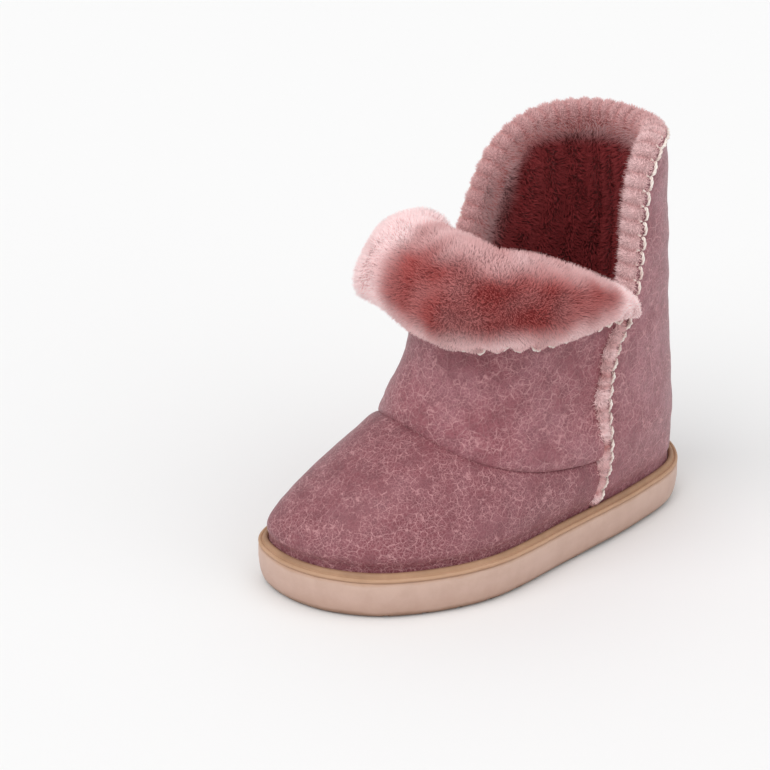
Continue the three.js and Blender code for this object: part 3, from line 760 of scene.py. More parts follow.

# %% [markdown]
# Moulded rubber is never one colour: it is paler and pinker up the wall, and darker and browner along
# the lower edge and in the tread grooves, which is painted shade where the wall turns under towards the
# floor. The welt's top by the leather is painted darker too, as shade under the upper. Height drives the
# change, and noise makes it uneven.

# %% Rubber materials
def rubber_material(name, bands, roughness):
    """Satin rubber; bands are heights in millimetres with the colour at each."""
    material, shader, w = start_material(name, roughness, 0.4)
    position = w.position()
    split = w.node("ShaderNodeSeparateXYZ", Vector=position)
    uneven = w.math("MULTIPLY", w.math("SUBTRACT", w.noise(position, 90.0, 4.0, 0.6), 0.5), 0.0022)
    height = w.math("ADD", split.outputs["Z"], uneven)
    low, high = bands[0][0], bands[-1][0]
    ramp = w.tree.nodes.new("ShaderNodeValToRGB")
    w.feed(ramp.inputs["Fac"], w.math("DIVIDE", w.math("SUBTRACT", height, low * MM), (high - low) * MM, True))
    while len(ramp.color_ramp.elements) < len(bands):
        ramp.color_ramp.elements.new(0.5)
    for element, (z, colour) in zip(ramp.color_ramp.elements, bands):
        element.position = (z - low) / (high - low)
        element.color = colour
    blotch = w.band(w.noise(position, 160.0, 5.0, 0.65), 0.35, 0.7)
    colour = w.mix(w.math("MULTIPLY", blotch, 0.16), ramp.outputs["Color"], srgb(150, 112, 92))
    w.feed(shader.inputs["Base Color"], colour)
    worn = w.noise(position, 220.0, 4.0, 0.6)
    w.feed(shader.inputs["Roughness"], w.band(worn, 0.3, 0.7, roughness, roughness + 0.18))
    speckle = w.noise(position, 2400.0, 3.0, 0.6)
    broad = w.noise(position, 120.0, 2.0, 0.5)
    relief = w.math("ADD", speckle, w.math("MULTIPLY", broad, 3.0))
    w.feed(shader.inputs["Normal"], w.bump(relief, 0.12, 0.00012))
    return material


# The darkest bands, below 1.4 mm, are painted shade along the bevel that turns under to the floor.
sole_rubber = rubber_material("satin_rubber", [
    (0.0, srgb(118, 90, 72)), (1.4, srgb(154, 119, 98)), (2.6, srgb(188, 155, 139)), (7.0, srgb(199, 168, 154)),
    (11.2, srgb(201, 171, 156)), (12.4, srgb(186, 150, 126)),
], 0.38)
# The welt darkens towards 14.7 mm, where it meets the leather: painted shade under the upper.
welt_rubber = rubber_material("welt_rubber", [
    (12.3, srgb(176, 136, 108)), (13.1, srgb(190, 152, 124)), (13.7, srgb(178, 140, 110)),
    (14.7, srgb(150, 114, 88)),
], 0.5)
paint(sole, sole_rubber)
paint(welt, welt_rubber)

# %% [markdown]
# ## Leather skins
# The upper is three skins: the vamp over the toes, the front of the shaft, and one rear skin that
# runs from the sole up to the top of the collar. Each is a grid laid on the last, then thickened.
# Real skins are plump: they swell between seams, roll under at an edge and crease where they bend,
# so the grid's points are lifted by slow noise and tucked in towards each seam.

# %% Skin helpers
SKIN = 1.4
SEAM_PILE_WIDTH, GAP = 2.6, 0.3
FRONT_SHIFT = SEAM_PILE_WIDTH + GAP - 0.5
CUP_SKIN_BOTTOM = 7.0


def tucked(distance, reach_mm, depth):
    """How far a skin dives at this distance from its edge."""
    t = np.clip(1 - np.asarray(distance, float) / reach_mm, 0, 1)
    return -depth * (1 - np.sqrt(np.clip(1 - t * t, 0, 1)))


def creases(points, size, depth, seed):
    """Soft random folds, mostly round the leg."""
    stretched = points * np.array([0.55, 0.55, 1.6])
    return depth * wander(stretched, size, seed)


# %% Vamp
VAMP_COLUMNS, VAMP_ROWS = 220, 64
u = np.linspace(0, 1, VAMP_COLUMNS)
v = np.linspace(0, 1, VAMP_ROWS) ** 0.9
seam_z = seam_height(u, FRONT_SHIFT)
z = CUP_SKIN_BOTTOM + (seam_z[None, :] + 0.5 - CUP_SKIN_BOTTOM) * v[:, None]
angle = front_angle(u[None, :] * np.ones_like(z), z, FRONT_SHIFT)
laid = face(angle, z)
to_seam = (seam_z[None, :] + 0.5 - z) * 0.8
swell = 1.1 * np.exp(-(((to_seam - 7) / 6) ** 2))
tight = -0.5 * np.exp(-(((z - 15.5) / 1.6) ** 2))
wrinkle = 0.35 * creases(laid, 14, 1, 3) + 0.12 * creases(laid, 4, 1, 5)
lift = swell + tight + tucked(to_seam, 2.6, 2.3) + wrinkle
vamp = grid_object("vamp", on_face(angle, z, lift))
print("vamp", len(vamp.data.polygons), "faces")

# %% The cuff's path, which the front skin ends under
FOLD_Y, FOLD_Z, FOLD_ROLL = -18.2, 97.2, 7.6
FLAP_HALF, FLAP_DEPTH = 16.0, 14.5
FLAP_HEM, MEDIAL_HEM = 76.0, 79.0
CUFF_END = {1: (30.5, 79.5, 3.2, 6.5), -1: (1.0, 89.5, 4.5, 9.0)}


def hem_at(x):
    return mix(MEDIAL_HEM, FLAP_HEM, float(smooth(x, -FLAP_HALF, FLAP_HALF)))


def flap_station(x):
    return dict(
        angle=front_angle_at(x, FOLD_Z), fold=FOLD_Z, out=np.array([0.0, -1, 0]),
        origin=np.array([x, FOLD_Y, FOLD_Z]), roll=FOLD_ROLL, depth=FLAP_DEPTH, hem=hem_at(x),
    )


def cuff_station(side, t):
    """Section of the cuff beside the flap, from the flap (0) to its end by the collar (1)."""
    end_y, end_fold, end_roll, end_depth = CUFF_END[side]
    start = front_angle_at(side * (FLAP_HALF + GAP), FOLD_Z)
    end = float(angle_at(end_y, end_fold, side)) + (TURN if side > 0 else 0)
    angle = mix(start, end, t)
    fold = mix(FOLD_Z, end_fold, t**1.4)
    free = float(smooth(t, 0, 0.35))
    wall = face(angle, fold)
    level = face_normal(angle, fold, level=True)
    out = mix(np.array([0.0, -1, 0]), level, free)
    return dict(
        angle=angle, fold=fold, out=out / np.linalg.norm(out),
        origin=mix(np.array([wall[0], FOLD_Y, fold]), wall, free), roll=mix(FOLD_ROLL, end_roll, t),
        depth=mix(FLAP_DEPTH, end_depth, float(smooth(t, 0.25, 1))),
        hem=mix(hem_at(side * FLAP_HALF), FLAP_HEM if side > 0 else MEDIAL_HEM, t),
    )


def wall_at(station, h):
    """How far out of the fold the leg's face lies, h above the fold."""
    around = np.cross([0, 0, 1], station["out"])
    low, high = station["angle"] - 0.6, station["angle"] + 0.6
    for _ in range(26):
        middle = (low + high) / 2
        if (face(middle, station["fold"] + h) - station["origin"]) @ around < 0:
            low = middle
        else:
            high = middle
    return float((face(low, station["fold"] + h) - station["origin"]) @ station["out"])


def place_at(station, n, h):
    return station["origin"] + station["out"] * n + np.array([0, 0, h])


cuff_rows = {
    -1: [cuff_station(-1, t) for t in np.linspace(1, 0, 41)[:-1]]
    + [flap_station(x) for x in np.linspace(-FLAP_HALF, 0, 23)],
    1: [flap_station(x) for x in np.linspace(0, FLAP_HALF, 23)]
    + [cuff_station(1, t) for t in np.linspace(0, 1, 75)[1:]],
}
fold_angle = np.array([s["angle"] % TURN for s in cuff_rows[-1] + cuff_rows[1][1:]])
fold_angle = np.where(fold_angle < math.pi / 2, fold_angle + TURN, fold_angle)
fold_height = np.array([s["fold"] - 0.55 * s["roll"] for s in cuff_rows[-1] + cuff_rows[1][1:]])
print("cuff stations", len(cuff_rows[-1]), "and", len(cuff_rows[1]))

# %% Front of the shaft
SHAFT_COLUMNS, SHAFT_ROWS = 200, 84
u = np.linspace(0, 1, SHAFT_COLUMNS)
v = np.linspace(0, 1, SHAFT_ROWS)
seam_z = seam_height(u, FRONT_SHIFT)
top_z = np.full_like(u, 88.0)
for _ in range(12):
    a = front_angle(u, top_z, FRONT_SHIFT)
    top_z = np.interp(np.where(a < math.pi / 2, a + TURN, a), fold_angle, fold_height)
z = seam_z[None, :] - 0.3 + (top_z - seam_z + 0.3)[None, :] * v[:, None]
angle = front_angle(u[None, :] * np.ones_like(z), z, FRONT_SHIFT)
laid = face(angle, z)
to_seam = (z - seam_z[None, :] + 0.3) * 0.9
swell = 1.5 * np.exp(-(((to_seam - 5.5) / 5) ** 2))
wrinkle = 0.55 * creases(laid, 15, 1, 8) + 0.16 * creases(laid, 4.5, 1, 12)
lift = swell + tucked(to_seam, 2.4, 2.0) + wrinkle * smooth(to_seam, 0, 5)
front_shaft = grid_object("front_shaft", on_face(angle, z, lift))
print("front shaft", len(front_shaft.data.polygons), "faces")

# %% Rear skin, from the heel to the collar's top
REAR_COLUMNS = 230
rear_z = np.concatenate([np.linspace(CUP_SKIN_BOTTOM, 100, 78), np.linspace(101, COLLAR_TOP - 0.8, 42),
                         COLLAR_TOP - 0.8 + 0.8 * np.sin(np.linspace(0.2, 1, 4) * math.pi / 2)])
u = np.linspace(0, 1, REAR_COLUMNS)
z = rear_z[:, None] * np.ones_like(u)[None, :]
angle = rear_angle(u[None, :], z, 0.0)
laid = face(angle, z)
side_gap = np.minimum(u, 1 - u)[None, :] * np.linalg.norm(laid[:, 0] - laid[:, -1], axis=-1)[:, None] * 1.4
tight = -0.5 * np.exp(-(((z - 15.5) / 1.6) ** 2))
lift = tight + (0.5 * creases(laid, 17, 1, 21) + 0.12 * creases(laid, 4.5, 1, 25)) * smooth(side_gap, 0, 8)
lift = lift - 0.5 * (1 - smooth(side_gap, 0, 3.0)) * smooth(COLLAR_TOP - z, -1, 4)
rear_skin = grid_object("rear_skin", on_face(angle, z, lift))
print("rear skin", len(rear_skin.data.polygons), "faces")


def rolled_edge(piece, width):
    """Thickness and a small round on the cut edges."""
    thicken(piece, SKIN)
    bevel = piece.modifiers.new("edge", "BEVEL")
    bevel.width, bevel.segments = width * MM, 2
    bevel.limit_method, bevel.angle_limit = "ANGLE", math.radians(50)
    return piece


for skin, material in ((vamp, vamp_leather), (front_shaft, shaft_leather), (rear_skin, rear_leather_painted_light)):
    face_outwards(skin)
    rolled_edge(skin, 0.35)
vamp, front_shaft, rear_skin = settle(vamp), settle(front_shaft), settle(rear_skin)
for skin, material in ((vamp, vamp_leather), (front_shaft, shaft_leather), (rear_skin, rear_leather_painted_light)):
    paint(skin, material)

# %% [markdown]
# ## Locks of wool
# Hand-placing wool is hopeless, so Geometry Nodes scatters it: points on the ground surface, and on
# each point a tiny tapered, bent lock. The ground mesh says, through attributes, how long the locks
# are and how pale, and noise makes neighbours lean the same way, so the pile parts in soft clumps.

# %% Lock scattering tree
def geometry_tree(name, inputs):
    tree = bpy.data.node_groups.new(name, "GeometryNodeTree")
    tree.interface.new_socket("Geometry", in_out="INPUT", socket_type="NodeSocketGeometry")
    for label, kind, default in inputs:
        socket = tree.interface.new_socket(label, in_out="INPUT", socket_type=kind)
        if default is not None:
            socket.default_value = default
    tree.interface.new_socket("Geometry", in_out="OUTPUT", socket_type="NodeSocketGeometry")
    return tree, tree.nodes.new("NodeGroupInput"), tree.nodes.new("NodeGroupOutput")


def run_tree(piece, tree, **settings):
    """Put the tree on a piece with its inputs set, and turn the result into a plain mesh."""
    modifier = piece.modifiers.new("nodes", "NODES")
    modifier.node_group = tree
    for item in tree.interface.items_tree:
        key = item.name.lower().replace(" ", "_")
        if item.in_out == "INPUT" and key in settings:
            modifier[item.identifier] = settings[key]
    return settle(piece)


WHOLE, MATERIAL = "NodeSocketInt", "NodeSocketMaterial"
locks, given, result = geometry_tree("wool_locks", [
    ("Density", NUMBER, 4e6), ("Length", NUMBER, 0.003), ("Root Radius", NUMBER, 0.0002), ("Lean", NUMBER, 0.5),
    ("Clump Size", NUMBER, 0.006), ("Seed", WHOLE, 1), ("Lock Material", MATERIAL, None),
    ("Ground Material", MATERIAL, None),
])
w = Wiring(locks)


def vector_math(operation, a, b=None, scale=None):
    made = w.node("ShaderNodeVectorMath")
    made.operation = operation
    w.feed(made.inputs[0], a)
    if b is not None:
        w.feed(made.inputs[1], b)
    if scale is not None:
        w.feed(made.inputs["Scale"], scale)
    return made.outputs["Vector"]


def named(label):
    made = w.node("GeometryNodeInputNamedAttribute", Name=label)
    made.data_type = "FLOAT"
    return made.outputs["Attribute"]


def store(geometry, label, value, domain):
    made = w.node("GeometryNodeStoreNamedAttribute", Name=label)
    made.data_type, made.domain = "FLOAT", domain
    w.feed(made.inputs["Geometry"], geometry)
    w.feed(made.inputs["Value"], value)
    return made.outputs["Geometry"]


def random_between(low, high, salt):
    made = w.node("FunctionNodeRandomValue")
    made.data_type = "FLOAT"
    floats = [s for s in made.inputs if s.type == "VALUE"]
    floats[0].default_value, floats[1].default_value = low, high
    w.feed(made.inputs["Seed"], w.math("ADD", given.outputs["Seed"], salt))
    return [s for s in made.outputs if s.type == "VALUE"][0]


scatter = w.node("GeometryNodeDistributePointsOnFaces")
scatter.distribute_method = "RANDOM"
w.feed(scatter.inputs["Mesh"], given.outputs["Geometry"])
density = w.math("MULTIPLY", given.outputs["Density"], named("lock_share"))
w.feed(scatter.inputs["Density"], density)
w.feed(scatter.inputs["Seed"], given.outputs["Seed"])

cone = w.node("GeometryNodeMeshCone", Vertices=3, Side_Segments=1)
cone.fill_type = "NONE"
cone.inputs["Radius Top"].default_value = 0.12
cone.inputs["Radius Bottom"].default_value = 1.0
cone.inputs["Depth"].default_value = 1.0
split = w.node("ShaderNodeSeparateXYZ", Vector=w.node("GeometryNodeInputPosition").outputs["Position"])
tall = store(cone.outputs["Mesh"], "lock_height", split.outputs["Z"], "POINT")
squared = w.math("MULTIPLY", split.outputs["Z"], split.outputs["Z"])
curl = w.node("ShaderNodeCombineXYZ", X=w.math("MULTIPLY", squared, 1.4))
bend = w.node("GeometryNodeSetPosition", Geometry=tall, Offset=curl.outputs["Vector"])

clumps = w.node("ShaderNodeTexNoise", Detail=2.0, Roughness=0.6)
clumps.inputs["Scale"].default_value = 1.0
place = w.node("GeometryNodeInputPosition").outputs["Position"]
per_clump = w.math("DIVIDE", 1.0, given.outputs["Clump Size"])
w.feed(clumps.inputs["Vector"], vector_math("SCALE", place, scale=per_clump))
swing = vector_math("SUBTRACT", clumps.outputs["Color"], (0.5, 0.5, 0.5))
swing = vector_math("SCALE", swing, scale=w.math("MULTIPLY", given.outputs["Lean"], 5.0))
jitter = w.node("FunctionNodeRandomValue")
jitter.data_type = "FLOAT_VECTOR"
jitter.inputs[0].default_value, jitter.inputs[1].default_value = (-0.34, -0.34, -0.34), (0.34, 0.34, 0.34)
w.feed(jitter.inputs["Seed"], w.math("ADD", given.outputs["Seed"], 7))
aim = vector_math("ADD", scatter.outputs["Normal"], vector_math("ADD", swing, jitter.outputs[0]))
turn = w.node("FunctionNodeAlignRotationToVector", Vector=aim)
turn.axis = "Z"
spin = w.node("FunctionNodeRotateRotation")
spin.rotation_space = "LOCAL"
w.feed(spin.inputs[0], turn.outputs["Rotation"])
around = w.node("ShaderNodeCombineXYZ", Z=random_between(0.0, TURN, 3))
w.feed(spin.inputs[1], around.outputs["Vector"])
usual = w.math("MULTIPLY", given.outputs["Length"], named("lock_length"))
tall_share = w.math("MULTIPLY", usual, random_between(0.7, 1.15, 5))
wide = given.outputs["Root Radius"]
size = w.node("ShaderNodeCombineXYZ", X=wide, Y=wide, Z=tall_share)
toned = store(scatter.outputs["Points"], "lock_tone", random_between(0.0, 1.0, 11), "POINT")
facing = w.node("GeometryNodeStoreNamedAttribute", Name="lock_face", Geometry=toned)
facing.data_type, facing.domain = "FLOAT_VECTOR", "POINT"
w.feed(facing.inputs["Value"], scatter.outputs["Normal"])
spread = w.node("GeometryNodeInstanceOnPoints", Points=facing.outputs["Geometry"], Scale=size.outputs["Vector"])
w.feed(spread.inputs["Instance"], bend.outputs["Geometry"])
w.feed(spread.inputs["Rotation"], spin.outputs["Rotation"])
real = w.node("GeometryNodeRealizeInstances", Geometry=spread.outputs["Instances"])
coat = w.node("GeometryNodeSetMaterial", Material=given.outputs["Lock Material"])
w.feed(coat.inputs["Geometry"], real.outputs["Geometry"])
bare = w.node("GeometryNodeSetMaterial", Material=given.outputs["Ground Material"])
w.feed(bare.inputs["Geometry"], given.outputs["Geometry"])
both = w.node("GeometryNodeJoinGeometry")
w.feed(both.inputs["Geometry"], bare.outputs["Geometry"])
w.feed(both.inputs["Geometry"], coat.outputs["Geometry"])
w.feed(result.inputs["Geometry"], both.outputs["Geometry"])


OWN_SHADE = 0.2


def soften(mesh):
    """Shade each lock mostly like the surface it grows on, as pile that scatters light looks."""
    count = len(mesh.vertices)
    mesh.polygons.foreach_set("use_smooth", [True] * len(mesh.polygons))
    own, ground = np.empty(count * 3), np.empty(count * 3)
    mesh.vertex_normals.foreach_get("vector", own)
    mesh.attributes["lock_face"].data.foreach_get("vector", ground)
    own, ground = own.reshape(-1, 3), ground.reshape(-1, 3)
    normals = own * OWN_SHADE + ground
    normals[np.linalg.norm(ground, axis=1) < 0.5] = own[np.linalg.norm(ground, axis=1) < 0.5]
    normals /= np.maximum(np.linalg.norm(normals, axis=1, keepdims=True), 1e-9)
    mesh.normals_split_custom_set_from_vertices(normals)
    mesh.attributes.remove(mesh.attributes["lock_face"])


def grow_wool(ground, per_mm2, length, radius=0.17, lean=0.35, clump=6.0, seed=1, material=None, felt=None):
    """Cover a ground mesh with locks; sizes in millimetres."""
    piece = run_tree(
        ground, locks, density=per_mm2 * 1e6, length=length * MM, root_radius=radius * MM, lean=lean,
        clump_size=clump * MM, seed=seed, lock_material=material or wool, ground_material=felt or wool_ground,
    )
    soften(piece.data)
    print(piece.name, sum(len(p.vertices) - 2 for p in piece.data.polygons), "triangles")
    return piece


# %% [markdown]
# ## Lining
# Inside, the pile is about 5 mm deep round the foot and 7 mm in the shaft. Each lining is a skin laid
# on the last inside the leather and thickened outwards to meet it. Locks grow where the eye can reach:
# on the tall collar, and at the mouth; deeper down the felted ground alone is enough.

# %% Lining helpers
def pile_depth(z):
    return SKIN + 0.25 + mix(5.0, 7.0, smooth(z, 40, 75))


def lining_ground(name, angle, z, wave, seed):
    laid = face(angle, z)
    inner = pile_depth(z) - 2.2 + 0.5 * wander(laid, 9, seed) + wave
    piece = grid_object(name, on_face(angle, z, -inner))
    face_outwards(piece)
    return piece, laid


def flip_inwards(piece, middle=(0, 22, 60)):
    """Turn a skin's faces towards the inside of the boot."""
    mesh = piece.data
    centre = np.array(middle) * MM
    polygon = mesh.polygons[len(mesh.polygons) // 2]
    if (np.array(polygon.center) - centre) @ np.array(polygon.normal) > 0:
        mesh.flip_normals()
    return piece


def back_with_felt(piece, thickness):
    """Thicken a lining towards the leather; no locks grow on that hidden side."""
    front_count = len(piece.data.vertices)
    piece = settle(thicken(piece, thickness))
    share = piece.data.attributes["lock_share"].data
    for i in range(front_count, len(share)):
        share[i].value = 0
    return piece


# %% Rear lining
LINING_BOTTOM = 13.0
u = np.linspace(0, 1, 150)
rows_z = np.concatenate([np.linspace(LINING_BOTTOM, 70, 34), np.linspace(71.5, COLLAR_TOP - 2.2, 44)])
z = rows_z[:, None] * np.ones_like(u)[None, :]
angle = rear_angle(u[None, :], z, 0.6)
drawn = 0.55 * np.sin(angle * 26 + 2.0 * np.sin(z / 13)) * smooth(z, 60, 80) * smooth(z, 122, 108)
rear_lining, laid = lining_ground("rear_lining", angle, z, drawn, 31)
point_values(rear_lining, "lock_share", smooth(laid[..., 2], 62, 74).ravel())
point_values(rear_lining, "lock_length", np.full(laid.shape[:2], 1.0).ravel())
edge_near = np.minimum(u, 1 - u)[None, :] * np.linalg.norm(laid[:, 0] - laid[:, -1], axis=-1)[:, None] * 1.5
rimmed = np.minimum(edge_near, COLLAR_TOP - z)
point_values(rear_lining, "lock_pale", (0.5 * (1 - smooth(rimmed, 3, 11))).ravel())
flip_inwards(rear_lining)
rear_lining = back_with_felt(rear_lining, 2.5)

# %% Front lining
u = np.linspace(0, 1, 120)
v = np.linspace(0, 1, 60)
low = LINING_BOTTOM + 0 * u
high = top_z[np.round(u * (SHAFT_COLUMNS - 1)).astype(int)] - 1.0
z = low[None, :] + (high - low)[None, :] * v[:, None]
angle = front_angle(u[None, :] * np.ones_like(z), z, 3.4)
front_lining, laid = lining_ground("front_lining", angle, z, 0.0 * z, 37)
point_values(front_lining, "lock_share", smooth(laid[..., 2], 56, 70).ravel())
point_values(front_lining, "lock_length", np.full(laid.shape[:2], 1.0).ravel())
point_values(front_lining, "lock_pale", np.zeros(laid.shape[:2]).ravel())
flip_inwards(front_lining)
front_lining = back_with_felt(front_lining, 2.3)
print("linings laid")

# %% [markdown]
# ## Collar rim
# Round the collar the pile is turned up past the leather and whipped down with a blanket stitch,
# every 4.6 mm, so the rim swells between stitches and is pinched at each. The ground is a fat rounded
# section swept along the collar's edge, whose size follows that scallop.

# %% Path of the collar edge
STITCH_PITCH = 4.6


def edge_run(side, z_from, z_to, count=200):
    """Angle and height along one side's edge, upwards."""
    z = np.linspace(z_from, z_to, count)
    return np.column_stack([edge_angle(side, z), z])


def collar_path(z_start, step=0.35):
    """(angle, height) along the collar's edge, from the outer side over the heel to the inner side."""
    outer, inner = edge_run(1, z_start[1], COLLAR_TOP - 0.05), edge_run(-1, z_start[-1], COLLAR_TOP - 0.05)
    across = np.linspace(outer[-1, 0], inner[-1, 0], 160)[1:-1]
    level = np.column_stack([across, np.full(len(across), COLLAR_TOP - 0.05)])
    whole = np.vstack([outer, level, inner[::-1]])
    points = face(whole[:, 0], whole[:, 1])
    s = np.concatenate([[0], np.cumsum(np.linalg.norm(np.diff(points, axis=0), axis=1))])
    smoothing = int(2.2 / step)
    t = np.arange(0, s[-1], step)
    path = np.column_stack([np.interp(t, s, whole[:, k]) for k in (0, 1)])
    kernel = np.ones(2 * smoothing + 1) / (2 * smoothing + 1)
    padded = np.vstack([np.repeat(path[:1], smoothing, 0), path, np.repeat(path[-1:], smoothing, 0)])
    rounded = np.column_stack([np.convolve(padded[:, k], kernel, "valid") for k in (0, 1)])
    return rounded, t


def path_frames(path):
    """Points on the face, the face's normal, and the way out past the edge, for each step of a path."""
    points = face(path[:, 0], path[:, 1])
    normal = face_normal(path[:, 0], path[:, 1])
    along_path = np.gradient(points, axis=0)
    along_path /= np.linalg.norm(along_path, axis=1, keepdims=True)
    out = np.cross(along_path, normal)
    return points, normal, out / np.linalg.norm(out, axis=1, keepdims=True), along_path


rim_path, rim_s = collar_path({1: 71.5, -1: 74.0})
rim_points, rim_normal, rim_beyond, _ = path_frames(rim_path)
if rim_beyond[0] @ np.array([0, -1, 0]) < 0:
    rim_beyond = -rim_beyond
print("collar rim", round(float(rim_s[-1]), 1), "mm,", int(rim_s[-1] / STITCH_PITCH), "scallops")

# %% Collar rim ground
RIM_SIDES = 26
PROUD, RIM_DEPTH, RIM_REACH = 2.2, 7.2, 7.5


def pinch(s, strength):
    """1 between stitches, less at each stitch."""
    return 1 - strength * (1 - np.abs(np.sin(math.pi * s / STITCH_PITCH)) ** 0.6)


def rim_section(turn, scallop):
    """Depth under the face and reach past the edge, round a plump D."""
    c, s = np.cos(turn), np.sin(turn)
    reach_out = np.where(c > 0, PROUD + 1.2, RIM_REACH - 1.2)
    bulk = np.where(c > 0, scallop, 1 - 0.35 * (1 - scallop) * np.clip(1 + c, 0, 1))
    e = -1.2 + np.sign(c) * np.abs(c) ** 0.9 * reach_out * bulk
    depth = 0.5 + (RIM_DEPTH - 0.5) * (0.5 - 0.5 * np.sign(s) * np.abs(s) ** 0.8)
    return depth, e


turns = np.linspace(0, TURN, RIM_SIDES, endpoint=False)
scallop = pinch(rim_s, 0.62)[:, None]
ends = np.sqrt(np.clip(np.minimum(rim_s, rim_s[-1] - rim_s) / 3.5, 0, 1))[:, None]
depth, e = rim_section(turns[None, :], scallop)
middle_depth = RIM_DEPTH / 2 + 0.4
depth = middle_depth + (depth - middle_depth) * (0.15 + 0.85 * ends)
e = -1.2 + (e + 1.2) * (0.15 + 0.85 * ends)
ground = rim_points[:, None] - rim_normal[:, None] * depth[..., None] + rim_beyond[:, None] * e[..., None]
rows, columns = ground.shape[:2]
faces = grid_faces(rows, columns, closed=True)
faces += [tuple(range(columns)), tuple(range((rows - 1) * columns, rows * columns))]
collar_rim = face_outwards(mesh_object("collar_rim", ground.reshape(-1, 3), faces))
print("collar rim ground", len(collar_rim.data.vertices), "points")
flat_e, flat_depth = e.ravel(), depth.ravel()
pale = 0.12 + 0.34 * smooth(flat_e, -5, 1.6) + 0.3 * smooth(np.repeat(rim_points[:, 0], RIM_SIDES), 6, 26)
pale = pale * (0.35 + 0.65 * np.repeat(np.abs(np.sin(math.pi * rim_s / STITCH_PITCH)) ** 0.5, RIM_SIDES))
under_leather = (flat_depth < 1.9) & (flat_e < -0.3)
point_values(collar_rim, "lock_pale", pale)
point_values(collar_rim, "lock_share", np.where(under_leather, 0.0, 1.0))
point_values(collar_rim, "lock_length", 0.62 + 0.1 * smooth(-flat_e, 1, 6))

# %% Grow the collar's wool
rear_lining = grow_wool(rear_lining, 4.4, 2.6, radius=0.19, lean=0.5, clump=8.0, seed=11, material=shaded_inner_wool)
front_lining = grow_wool(front_lining, 3.6, 2.6, radius=0.2, lean=0.45, clump=8.0, seed=13, material=shaded_inner_wool)
collar_rim = grow_wool(collar_rim, 8.0, 1.9, radius=0.14, lean=0.3, clump=3.0, seed=17, felt=glowing_ground)

# %% [markdown]
# ## Folded cuff
# The front of the shaft is longer than the back and is turned down over itself, so its wool shows
# outside as one plump roll. In section it is a closed loop: up behind, over the fold, out over the
# front and back in at the whipped hem. Lofting such sections from side to side gives the ground; it is
# parted at the middle into a medial and a lateral half.

# %% Cuff sections
CUFF_STAND = 0.6  # gap between the shaft and the turned-down leather
LOOP_POINTS, BEHIND = 72, 56  # points round a section, and where its hidden side starts
HIDDEN_SHARE = 0.15  # of the locks grow there
END_BULGES, END_REACH = (0.25, 0.5, 0.75, 0.92, 1.0), 3.2  # the rounded end past the last section


def loop_section(station):
    """Closed outline of the cuff's wool in one station's plane."""
    roll, fold = station["roll"], station["fold"]
    low = min(-roll - 0.5, station["hem"] - fold)
    slant = 1 / max(float(face_normal(station["angle"], fold, level=True) @ station["out"]), 0.5)

    def back(h):
        return wall_at(station, h) + CUFF_STAND + SKIN + 0.2

    def front(h, share):
        return wall_at(station, h) + station["depth"] * share * slant

    controls = [
        (back(low) + 0.3, low + 0.6), (front(low, 0.32), low - 0.9), (front(low, 0.56), low + 0.2),
        (front(low * 0.86, 0.80), low * 0.86), (front(low * 0.66, 0.98), low * 0.66),
        (front(low * 0.42, 1.03), low * 0.42), (front(low * 0.18, 0.97), low * 0.18),
        (max(front(0, 0.80), roll), roll * 0.32), (roll * 0.62, roll * 0.86), (0, roll),
        (-roll * 0.7, roll * 0.7), (-roll, 0), (-roll * 0.7, -roll * 0.7), (-roll * 0.1, -roll),
        (back(-roll), -roll * 1.05), (back(low * 0.6), low * 0.6),
    ]
    curve = closed_curve(np.array(controls), 288)
    return even(np.vstack([curve, curve[:1]]), LOOP_POINTS + 1)[:-1]


